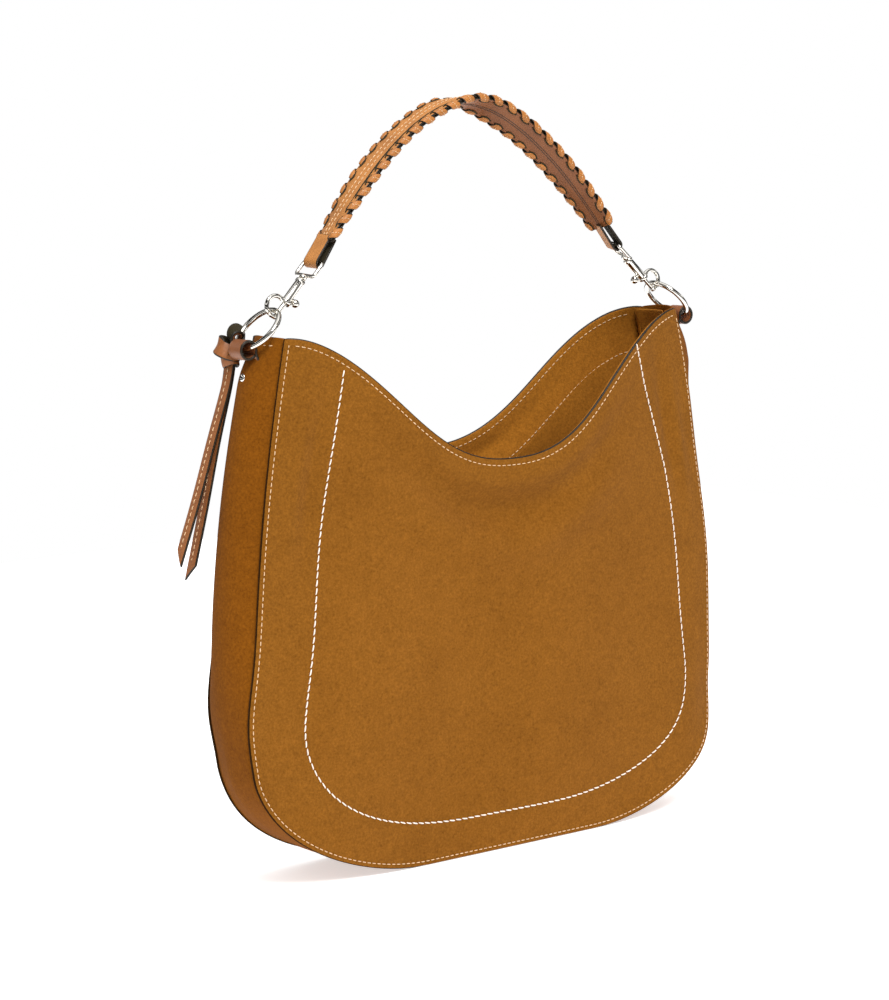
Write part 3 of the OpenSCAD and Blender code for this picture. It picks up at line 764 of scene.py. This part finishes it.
def ring_tab(sx, tag):
    """A strip up through the gusset, round the ring and back to its own neck."""
    r_mid = 5.95
    c = np.array([tab_x, tab_z])
    a = np.radians(np.linspace(214, 214 - 352, 64))
    loop = np.stack([c[0] + r_mid * np.cos(a), c[1] + r_mid * np.sin(a)], 1)
    stem = np.array([[tab_x - 8.2, tab_z - 27], [tab_x - 8.7, tab_z - 23], [tab_x - 9.4, tab_z - 17],
                     [tab_x - 9.6, tab_z - 11.5], [tab_x - 7.6, tab_z - 7.2]])
    path = np.concatenate([stem, loop[2:]])
    run = np.concatenate([[0], np.cumsum(np.linalg.norm(np.diff(path, axis=0), axis=1))])
    at = np.linspace(0, run[-1], 90)
    path = np.stack([np.interp(at, run, path[:, k]) for k in range(2)], 1)
    for _ in range(2):
        path[1:-1] = (path[:-2] + path[1:-1] * 2 + path[2:]) / 4
    t = unit(np.gradient(path, axis=0))
    n2 = np.stack([-t[:, 1], t[:, 0]], 1)
    ys = np.linspace(-BAG_TAB_W, BAG_TAB_W, 9)
    g = np.array([[(sx * p[0], y, p[1]) for y in ys] for p in path + n2 * TAB_T / 2])
    nrm = np.array([[(sx * q[0], 0, q[1]) for y in ys] for q in n2])
    sheet("ring_tab_loop_" + tag, g, TAB_T, nrm, [TAB, PAINT, TAB], "bag", "tab_leather",
          ("ring_tab_" + tag,))


def rivet(sx, tag):
    z = H - 25
    centre = np.array([float(half_w(z)) + float(bow(z)), 0, z])
    tilt = math.radians(11)
    nz = np.array([math.cos(tilt), 0, math.sin(tilt)])
    nx = np.array([math.sin(tilt), 0, -math.cos(tilt)])
    cap = [(0, -10.3), (1.2, -10.3), (1.2, 0.3), (2.7, 0.35), (2.95, 0.6), (2.95, 0.9), (2.7, 1.25),
           (2.0, 1.6), (1.0, 1.82), (0, 1.88)]
    chrome("rivet_" + tag, lathe_data(cap), basis(nx, YY, nz, centre), sx, "bag",
           ("tab_rivets",) if sx < 0 else ())


def o_ring(sx, tag):
    a = np.linspace(0, 2 * np.pi, 97)[:-1]
    ring = RING_C + RING_R * (np.cos(a)[:, None] * UP + np.sin(a)[:, None] * YY)
    chrome("o_ring_wire_" + tag, tube_data(ring, RING_W, True, 20, OUT), np.eye(4), sx, "ring_" + tag,
           ("o_ring_" + tag,))


def snap_body(sx, tag):
    """Barrel with collars, the C hook and its ball nose."""
    barrel = [(0, -21.6), (2.0, -21.6), (3.7, -21.6), (4.0, -21.2), (4.0, -19.8), (3.6, -19.3), (3.05, -19.1),
              (3.0, -18.5), (3.0, -3.2), (3.1, -2.9), (3.45, -2.6), (3.45, -1.2), (3.1, -0.6), (2.7, -0.2),
              (2.0, 0), (0, 0)]
    end = -math.degrees(math.acos(-HOOK_OFF / HOOK_R))
    hook = arc(HOOK_OFF, -HOOK_DOWN, HOOK_R, 97, end, 60)
    rad = np.full(60, 1.5)
    rad[:5] = np.linspace(1.9, 1.5, 5)
    ball = [(0, -1.9), (1.0, -1.6), (1.7, -0.9), (1.95, 0), (1.9, 0.7), (1.5, 1.3), (1.2, 1.4), (0, 1.0)]
    nose = basis([1, 0, 0], [0, 1, 0], [0, 0, 1], hook[-1])
    body = merge([lathe_data(barrel), tube_data(hook, rad, sides=18, first=(0, 1, 0)),
                  moved(lathe_data(ball, 28), nose)])
    chrome("snap_body_" + tag, body, SNAP_M, sx, "hook_" + tag, ("snap_body_" + tag,))


def snap_bolt(sx, tag):
    """The sliding rod and the knob that moves it."""
    rod = [(0, -31.4), (1.0, -31.4), (1.5, -31.0), (1.5, -15.2), (2.1, -15.1), (2.1, -13.5), (0, -13.4)]
    chrome("snap_rod_" + tag, lathe_data(rod, 28), SNAP_M, sx, "bolt_" + tag, ("snap_bolt_" + tag,))
    ang = np.radians(np.linspace(-90, 90, 13))
    knob = [(0, 0.3), (0.8, 0.3), (0.8, 3.2), (1.5, 3.5), (1.8, 3.9)] + [
        (2.9 * math.cos(t), 6.6 + 2.9 * math.sin(t)) for t in ang[2:-1]] + [(0, 9.5)]
    face_out = basis([0, 0, 1], [0, -1, 0], [-1, 0, 0], [0, 0, -15.9])
    face_out[:3, 1] = np.cross(face_out[:3, 2], face_out[:3, 0])
    chrome("snap_knob_" + tag, lathe_data(knob, 32), SNAP_M @ face_out, sx, "bolt_" + tag,
           ("thumb_stud_" + tag,))


def about_z(angle):
    c, s = math.cos(angle), math.sin(angle)
    return basis([c, s, 0], [-s, c, 0], [0, 0, 1], [0, 0, 0])


def swivel_eye(sx, tag):
    """A rounded wire loop on a stud."""
    half, low, high, bend = 8.4, 3.6, BAR_Z, 2.2
    corner = []
    for cy, cz, a0 in ((half - bend, high - bend, 0), (-half + bend, high - bend, 90),
                       (-half + bend, low + bend, 180), (half - bend, low + bend, 270)):
        for t in np.radians(np.linspace(a0, a0 + 90, 9)):
            corner.append((0, cy + bend * math.cos(t), cz + bend * math.sin(t)))
    corner = np.array(corner)
    dense = []
    for p, q in zip(corner, np.roll(corner, -1, 0)):
        steps = max(1, int(np.linalg.norm(q - p) / 1.5))
        dense += [p + (q - p) * k / steps for k in range(steps)]
    stud = [(0, -3.6), (2.1, -3.6), (2.1, -2.6), (1.35, -2.5), (1.35, 0.3), (2.4, 0.4), (2.7, 0.9),
            (2.6, 2.6), (1.9, 3.8), (0, 4.6)]
    eye = merge([tube_data(np.array(dense), 1.35, True, 16, (1, 0, 0)), lathe_data(stud, 28)])
    chrome("swivel_eye_wire_" + tag, eye, SNAP_M @ about_z(-TURN[sx]), sx, "handle", ("swivel_eye_" + tag,))


for sx, tag in ((-1, "left"), (1, "right")):
    for piece in (ring_tab, rivet, o_ring, snap_body, snap_bolt, swivel_eye):
        piece(sx, tag)

# ---------------------------------------------------------------- handle
BAR_P = SNAP_O + BAR_Z * UP
ARCH_END = BAR_P + TAB_LEN * np.array([-math.cos(SLOPE), 0, math.sin(SLOPE)])
ARCH_A, ARCH_H, ARCH_POW = ARCH_END[0], 92.0, 1.75
TURN_U = np.array([-1, -0.75, -0.12, 0.25, 0.72, 1])
TURN_A = np.radians([4, -20, -18, 50, 48, 18])


def smooth_turn(u):
    us = np.linspace(-1, 1, 401)
    a = np.interp(us, TURN_U, TURN_A)
    k = np.hanning(41)
    a = np.convolve(np.pad(a, 20, "edge"), k / k.sum(), "valid")
    return np.interp(u, us, a)


def arch(x):
    x = np.asarray(x, float)
    return np.stack([x, 0 * x, ARCH_END[2] + ARCH_H * (1 - np.abs(x / ARCH_A) ** ARCH_POW)], -1)


fine_x = np.linspace(-ARCH_A, ARCH_A, 2001)
fine_p = arch(fine_x)
fine_s = np.concatenate([[0], np.cumsum(np.linalg.norm(np.diff(fine_p, axis=0), axis=1))])
ARCH_L = fine_s[-1]


def strap_frame(s):
    """Point, run, width and outward directions of the strap at length s."""
    x = np.interp(s, fine_s, fine_x)
    t = unit(arch(x + 0.2) - arch(x - 0.2))
    n = np.stack([-t[..., 2], 0 * t[..., 0], t[..., 0]], -1)
    q = smooth_turn(x / ARCH_A)[..., None]
    w = np.cos(q) * YY - np.sin(q) * n
    return arch(x), t, w, np.cos(q) * n + np.sin(q) * YY


def on_strap(s, w, n):
    p, t, wd, nd = strap_frame(np.asarray(s, float))
    return p + wd * np.asarray(w, float)[..., None] + nd * np.asarray(n, float)[..., None]


def lean(g):
    return np.asarray(g) @ LEAN_M[:3, :3].T + LEAN_M[:3, 3]


LEAN_DIR = LEAN_M[:3, :3]
STRAP_HALF = 8.6
ss = np.linspace(0, ARCH_L, 181)
SS, WW = np.meshgrid(ss, np.linspace(-STRAP_HALF, STRAP_HALF, 13), indexing="ij")
crown = 0.7 * (1 - (WW / STRAP_HALF) ** 2)
up_dirs = strap_frame(SS)[3] @ LEAN_DIR.T
sheet("handle_face_strap", lean(on_strap(SS, WW, 1.7 + crown)), 1.5, up_dirs,
      [STRAP, PAINT, FLESH_AND_SLIT_SHADE], "handle", "strap_leather", ("handle_face",))
sheet("handle_under_strap", lean(on_strap(SS, WW, -1.7 - crown * 0.7)), 1.5, -up_dirs,
      [UNDER, PAINT, FLESH_AND_SLIT_SHADE], "handle", "dark_leather", ("handle_underside",))
nd = strap_frame(ss)[3]
for w, tag in ((-1.7, "a"), (1.7, "b")):
    line = lean(on_strap(ss, np.full(len(ss), w), np.full(len(ss), 2.36)))
    stitches("handle_stitches_" + tag, line, nd @ LEAN_DIR.T, 4.0, 2.8, 0.36, THREAD, "handle",
             "strap_leather", skip=4)
    line = lean(on_strap(ss, np.full(len(ss), w * 0.42), np.full(len(ss), -2.12)))
    put("handle_under_seam_" + tag, *tube_data(line, 0.3, sides=8)[:2], THREAD_DARK, "handle", "dark_leather")

# lace bands round both edges of the strap
LACES, LACE_END = 25, 6.0       # bands on each edge, and how far the end ones sit from the strap's ends
BAND, SHEAR = 7.6, 7.0          # width of a band, and how far it shifts along the strap as it goes round
FROM_DEG, TO_DEG = 117.0, -126.0
EDGE_W, EDGE_R = 8.3, 3.0       # a band goes round a circle of this radius, this far from the middle


def round_share(deg):
    """Share of the way round the edge."""
    return (FROM_DEG - deg) / (FROM_DEG - TO_DEG)


def lace_band(s0, side):
    rows = []
    for a in np.radians(np.linspace(FROM_DEG, TO_DEG, 33)):
        f = round_share(math.degrees(a))
        w = EDGE_W + EDGE_R * math.cos(a)
        n = EDGE_R * math.sin(a)
        taper = 1.0 - 0.32 * abs(2 * f - 1) ** 3
        cross = [s0 + (f - 0.5) * SHEAR + e * BAND / 2 * taper for e in (-1, -0.6, 0, 0.6, 1)]
        bulge = [-0.35, 0.0, 0.15, 0.0, -0.35]
        rows.append([on_strap(c, side * (w + b * math.cos(a)), n + b * math.sin(a))
                     for c, b in zip(cross, bulge)])
    g = np.array(rows)
    p0, _, w0, _ = strap_frame(s0)
    return sheet_data(lean(g), 1.25, (g - (p0 + w0 * side * 7.0)) @ LEAN_DIR.T)


def lace_dash(s0, side, deg):
    path = []
    for d in (-9, -5, 0, 5, 9):
        b = math.radians(deg + d)
        along = s0 + (round_share(deg + d) - 0.5) * SHEAR
        path.append(on_strap(along, side * (EDGE_W + 3.3 * math.cos(b)), 3.3 * math.sin(b)))
    return tube_data(lean(np.array(path)), [0.15, 0.28, 0.33, 0.28, 0.15], sides=6)


def lace_slit(s0, side, face):
    """The slit a band goes through, drawn as a dark crescent of painted shade on the strap: face is 1 above
    the strap and -1 below.
    """
    n0 = strap_frame(s0)[3]
    es = np.linspace(-1, 1, 13)
    middle = s0 - face * 0.5 * SHEAR - 0.6
    spots = [(middle + e * 4.6, side * ((6.5 if face > 0 else 6.4) + 0.7 * e * e), e) for e in es]
    top = [on_strap(c, w + side * (0.9 * (1 - e * e) + 0.05), face * 2.45) for c, w, e in spots]
    low = [on_strap(c, w - side * (0.9 * (1 - e * e) + 0.05), face * 2.45) for c, w, e in spots]
    top, low = np.array(top), np.array(low)
    g = np.array([top, (top + low) / 2 + 0.12 * face * n0, low])
    return sheet_data(lean(g), 1.0, np.broadcast_to(face * n0 @ LEAN_DIR.T, g.shape), 0.05)


def laces(side, tag):
    bands, dashes, slits = [], [], []
    for i in range(LACES):
        s0 = LACE_END + (ARCH_L - 2 * LACE_END) * i / (LACES - 1)
        bands.append(lace_band(s0, side))
        dashes += [lace_dash(s0, side, deg) for deg in (60, 30, 0, -30, -60)]
        slits += [lace_slit(s0, side, face) for face in (1, -1)]
    p, f, i = merge(bands)
    put("lace_bands_" + tag, p, f, [LACE, PAINT, FLESH_AND_SLIT_SHADE], "handle", "lace_leather", ("handle_lace_" + tag,),
        i, 50)
    p, f, i = merge(dashes)
    put("lace_stitches_" + tag, p, f, THREAD, "handle", "lace_leather", angle=80)
    # the slits are dark crescents of painted shade laid on the strap
    p, f, i = merge(slits)
    put("lace_slits_" + tag, p, f, FLESH_AND_SLIT_SHADE, "handle", "lace_leather", angle=50)


def end_tab(sx, tag):
    """A strip folded round the eye's bar."""
    legs = np.linspace(TAB_LEN + 3.0, 0, 22)
    bar, half_t = 3.3, 0.85
    pts = [(bar - 0.5 * (z / TAB_LEN), z) for z in legs]
    pts += [(bar * math.cos(t), -bar * math.sin(t)) for t in np.radians(np.linspace(8, 172, 22))]
    pts += [(-bar + 0.5 * (z / TAB_LEN), z) for z in legs[::-1]]
    path = np.array(pts)
    t = unit(np.gradient(path, axis=0))
    n2 = np.stack([t[:, 1], -t[:, 0]], 1)
    if (n2 * path)[25:40].sum() < 0:
        n2 = -n2
    ys = np.linspace(-5.6, 5.6, 9)
    tip = np.array([-math.cos(SLOPE), 0, math.sin(SLOPE)])
    outn = np.array([math.sin(SLOPE), 0, math.cos(SLOPE)])
    m = sided(LEAN_M @ basis(outn, YY, tip, BAR_P) @ about_z(-TURN[sx]), sx)
    g = np.array([[(p[0] + q[0] * half_t, y, p[1] + q[1] * half_t) for y in ys] for p, q in zip(path, n2)])
    nv = np.array([[(q[0], 0, q[1]) for y in ys] for q in n2]) @ m[:3, :3].T
    sheet("end_tab_fold_" + tag, g @ m[:3, :3].T + m[:3, 3], 2 * half_t, nv, [STRAP, PAINT, FLESH_AND_SLIT_SHADE], "handle",
          "strap_leather", ("handle_tab_" + tag,))


for side, tag in ((-1, "front"), (1, "back")):
    laces(side, tag)
for sx, tag in ((-1, "left"), (1, "right")):
    end_tab(sx, tag)

# ---------------------------------------------------------------- tassel (left ring)
KT = math.radians(52)
DOWN = -UP
KNOT_P = RING_C + RING_R * (math.cos(KT) * DOWN + math.sin(KT) * YY)
KNOT_T = math.cos(KT) * YY - math.sin(KT) * DOWN


def strip_data(path, wdir, width, thick, cols_n=7):
    """A leather strip along a path: wdir gives its width direction at each point."""
    path = np.asarray(path, float)
    t = unit(np.gradient(path, axis=0))
    w = np.broadcast_to(np.asarray(wdir, float), path.shape)
    w = unit(w - t * (w * t).sum(1, keepdims=True))
    n = np.cross(t, w)
    e = np.linspace(-1, 1, cols_n)
    wid = np.broadcast_to(np.asarray(width, float), (len(path),))
    g = (path[:, None] + w[:, None] * (e[None, :, None] * wid[:, None, None] / 2)
         + n[:, None] * (thick / 2 + 0.25 * (1 - e[None, :, None] ** 2)))
    return sheet_data(g, thick, np.broadcast_to(n[:, None], g.shape)), g, n


def spline(ctrl, n):
    """Smooth path through control points."""
    c = np.asarray(ctrl, float)
    c = np.concatenate([[2 * c[0] - c[1]], c, [2 * c[-1] - c[-2]]])
    out = []
    segs = len(c) - 3
    for k in np.linspace(0, segs - 1e-6, n):
        i = int(k)
        t = k - i
        p0, p1, p2, p3 = c[i], c[i + 1], c[i + 2], c[i + 3]
        out.append(0.5 * ((2 * p1) + (p2 - p0) * t + (2 * p0 - 5 * p1 + 4 * p2 - p3) * t ** 2
                          + (3 * p1 - p0 - 3 * p2 + p3) * t ** 3))
    return np.array(out)


# drawn on the right-hand ring like the rest, then mirrored to the left
K = KNOT_P
WRAPS = (
    ([-2, 0, -9], [3.5, -1.5, -4], [4.5, -1.0, 2.5], [0, 1.0, 6.0], [-5.0, 3, 3.5], [-5.5, 4, -3],
     [-1, 4, -8], [5, 4, -11]),
    ([-1, 0, -7], [4, -3, -8.5], [9.5, -1, -7], [12.5, 3, -4.5], [10.5, 7, -2.0], [5, 8, -3], [1, 6, -7],
     [3, 4, -13]),
    ([1, 3, -15], [3, -2, -12.5], [8, -3, -12], [11, 1, -13.5], [9, 5, -14.5], [4, 6, -14], [1, 4, -12.5]))
WAYS = (KNOT_T, unit(np.array([-0.5, 0.1, 0.9])), np.array([0.2, 0, 1.0]))
COUNTS, WIDTHS, THICKS = (60, 60, 50), (10.5, 10.0, 6.5), (2.0, 2.0, 1.9)
parts = [moved(strip_data(spline([K + v for v in ctrl], count), way, width, thick)[0], MIRROR)
         for ctrl, count, way, width, thick in zip(WRAPS, COUNTS, WAYS, WIDTHS, THICKS)]
p, f, i = merge(parts)
put("tassel_knot_wraps", p, f, [TASSEL, PAINT, FLESH_AND_SLIT_SHADE], "tassel", "tassel_leather", ("tassel_knot",), i, 55)

TOP = K + np.array([5.5, 2.5, -15])
TAIL_W, TAIL_T, TIP = 8.2, 1.9, 14.0     # width and thickness of a tail, and length of its slanted end


def tassel_tail(tag, ctrl, w0, w1, slant):
    path = spline([TOP + v for v in ctrl], 90)
    k = np.linspace(0, 1, 90)[:, None]
    wd = np.array(w0) * (1 - k) + np.array(w1) * k
    (pts, faces, index), g, n = strip_data(path, wd, TAIL_W, TAIL_T)
    # points near the tip slide along the strip by how far across they are
    tip_dir = unit(path[-1] - path[-6])
    across = unit(wd[-1] - tip_dir * (wd[-1] @ tip_dir))
    rel = pts - path[-1]
    along = rel @ tip_dir
    near = np.clip(1 + along / TIP, 0, 1) * (np.abs(along) < TIP)
    pts += tip_dir * (near * (rel @ across) / (TAIL_W / 2) * slant)[:, None]
    p, f, i = moved((pts, faces, index), MIRROR)
    put("tassel_tail_strip_" + tag, p, f, [TASSEL, PAINT, UNDER], "tassel", "tassel_leather",
        ("tassel_tail_" + tag,), i, 55)
    line = (g[:, 3] + n * 0.02) @ MIRROR[:3, :3].T
    nn = n @ MIRROR[:3, :3].T
    stitches("tassel_stitches_" + tag, line[3:-4], nn[3:-4], 4.4, 2.8, 0.34, THREAD, "tassel",
             "tassel_leather")


tassel_tail("outer", ([-0.5, 0.0, 2], [3.6, 0.6, -16], [15.0, 2.0, -50], [27.5, 4.5, -90], [40.5, 6.5, -127]),
            (0.1, 1.0, 0.05), (0.02, 1.0, 0.1), -5.0)
tassel_tail("inner", ([-2.5, 3.2, 2], [1.0, 3.6, -16], [11.0, 4.6, -53], [20.5, 6.0, -94], [32.0, 7.0, -138]),
            (0.3, 0.95, 0.05), (0.0, 1.0, 0.1), 5.0)

# ---------------------------------------------------------------- CAD nodes kept as they are
for name, mat in (("base_stiffener", BOARD), ("rivet_washers", STEEL), ("bolt_spring_left", STEEL),
                  ("bolt_spring_right", STEEL), ("handle_core", FLESH_AND_SLIT_SHADE)):
    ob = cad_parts[name]
    ob.data.materials.clear()
    ob.data.materials.append(mat)

# ---------------------------------------------------------------- stage, light and camera
FLOOR_HALF, FLOOR_Z, FLOOR_N = 1.4, -0.0006, 21    # metres, metres, points along a side


def paper(name):
    k = Nodes(name)
    col = k.ramp(k.noise(3.0), [(0.3, (0.945, 0.945, 0.945, 1)), (0.7, (0.95, 0.95, 0.95, 1))])
    k.bsdf.inputs["Emission Color"].default_value = (1, 1, 1, 1)
    k.bsdf.inputs["Emission Strength"].default_value = 0.55
    return k.finish(col, 0.9, spec=0.05)


def floor_piece():
    n = FLOOR_N
    line = np.linspace(-FLOOR_HALF, FLOOR_HALF, n)
    verts = [(a, b, FLOOR_Z) for b in line for a in line]
    faces = [(j * n + i, j * n + i + 1, (j + 1) * n + i + 1, (j + 1) * n + i)
             for j in range(n - 1) for i in range(n - 1)]
    me = bpy.data.meshes.new("floor")
    me.from_pydata(verts, [], faces)
    floor = bpy.data.objects.new("floor", me)
    bpy.context.scene.collection.objects.link(floor)
    me.materials.append(paper("paper"))


def grey_ramp(tree, height, stops):
    """Brightness against height in the sky."""
    ramp = tree.nodes.new("ShaderNodeValToRGB")
    els = ramp.color_ramp.elements
    while len(els) < len(stops):
        els.new(0.5)
    for e, (pos, v) in zip(els, stops):
        e.position = pos
        e.color = (v, v, v, 1)
    tree.links.new(height, ramp.inputs["Fac"])
    return ramp.outputs["Color"]


def either(tree, flag, no, yes):
    """Colour no, or colour yes where the flag is set; no may be plain."""
    pick = tree.nodes.new("ShaderNodeMix")
    pick.data_type = "RGBA"
    tree.links.new(flag, pick.inputs[0])
    if isinstance(no, bpy.types.NodeSocket):
        tree.links.new(no, pick.inputs[6])
    else:
        pick.inputs[6].default_value = no
    tree.links.new(yes, pick.inputs[7])
    return pick.outputs[2]


def studio_world():
    """White to the camera, a soft sky for diffuse light, and dark bands for the metal to reflect."""
    world = bpy.data.worlds.new("studio")
    bpy.context.scene.world = world
    world.use_nodes = True
    tree = world.node_tree
    coord = tree.nodes.new("ShaderNodeTexCoord")
    sep = tree.nodes.new("ShaderNodeSeparateXYZ")
    ray = tree.nodes.new("ShaderNodeLightPath")
    half = tree.nodes.new("ShaderNodeMath")
    half.operation = "MULTIPLY_ADD"
    half.inputs[1].default_value = 0.5
    half.inputs[2].default_value = 0.5
    tree.links.new(coord.outputs["Generated"], sep.inputs[0])
    tree.links.new(sep.outputs["Z"], half.inputs[0])
    height = half.outputs[0]
    sky = grey_ramp(tree, height, [(0.0, 0.3), (0.5, 0.2), (0.7, 0.5), (1.0, 1.3)])
    bands = grey_ramp(tree, height, [
        (0.0, 0.7), (0.33, 0.4), (0.36, 0.03), (0.46, 0.03), (0.48, 0.55), (0.51, 0.6), (0.525, 0.02),
        (0.62, 0.02), (0.645, 1.1), (0.69, 1.2), (0.72, 0.03), (0.88, 0.03), (0.91, 0.9), (1.0, 0.4)])
    color = either(tree, ray.outputs["Is Diffuse Ray"], (1.0, 1.0, 1.0, 1), sky)
    color = either(tree, ray.outputs["Is Glossy Ray"], color, bands)
    tree.links.new(color, tree.nodes["Background"].inputs["Color"])
    tree.nodes["Background"].inputs["Strength"].default_value = 1.0


def area(name, loc, target, size, power):
    light = bpy.data.lights.new(name, "AREA")
    light.shape = "RECTANGLE"
    light.size, light.size_y = size
    light.energy = power
    ob = bpy.data.objects.new(name, light)
    ob.location = loc
    ob.rotation_euler = (Vector(target) - Vector(loc)).to_track_quat("-Z", "Y").to_euler()
    bpy.context.scene.collection.objects.link(ob)


floor_piece()
studio_world()
area("key", (-0.5, -1.7, 2.4), (0, 0, 0.2), (1.0, 1.0), 62)
area("top", (0.1, -0.3, 2.6), (0, 0, 0.2), (2.0, 2.0), 10)

CAMERA_AT = np.array([-1200.5, -1567.3, 512.4])
CAMERA_AIM = np.array([-29.17, 0.0, 247.05])
CAMERA_ROLL = math.radians(1.381)
CAMERA_LENS, SENSOR = 101.58, 36.0


def camera():
    away = unit(CAMERA_AT - CAMERA_AIM)
    across = unit(np.cross(-away, [0, 0, 1.0]))
    up = np.cross(across, -away)
    c, s = math.cos(CAMERA_ROLL), math.sin(CAMERA_ROLL)
    data = bpy.data.cameras.new("camera")
    data.lens = CAMERA_LENS
    data.sensor_width = SENSOR
    ob = bpy.data.objects.new("camera", data)
    pose = basis(c * across - s * up, c * up + s * across, away, CAMERA_AT / 1000)
    ob.matrix_world = Matrix(pose.tolist())
    bpy.context.scene.collection.objects.link(ob)
    bpy.context.scene.camera = ob


camera()
bpy.context.scene.view_settings.view_transform = "Standard"
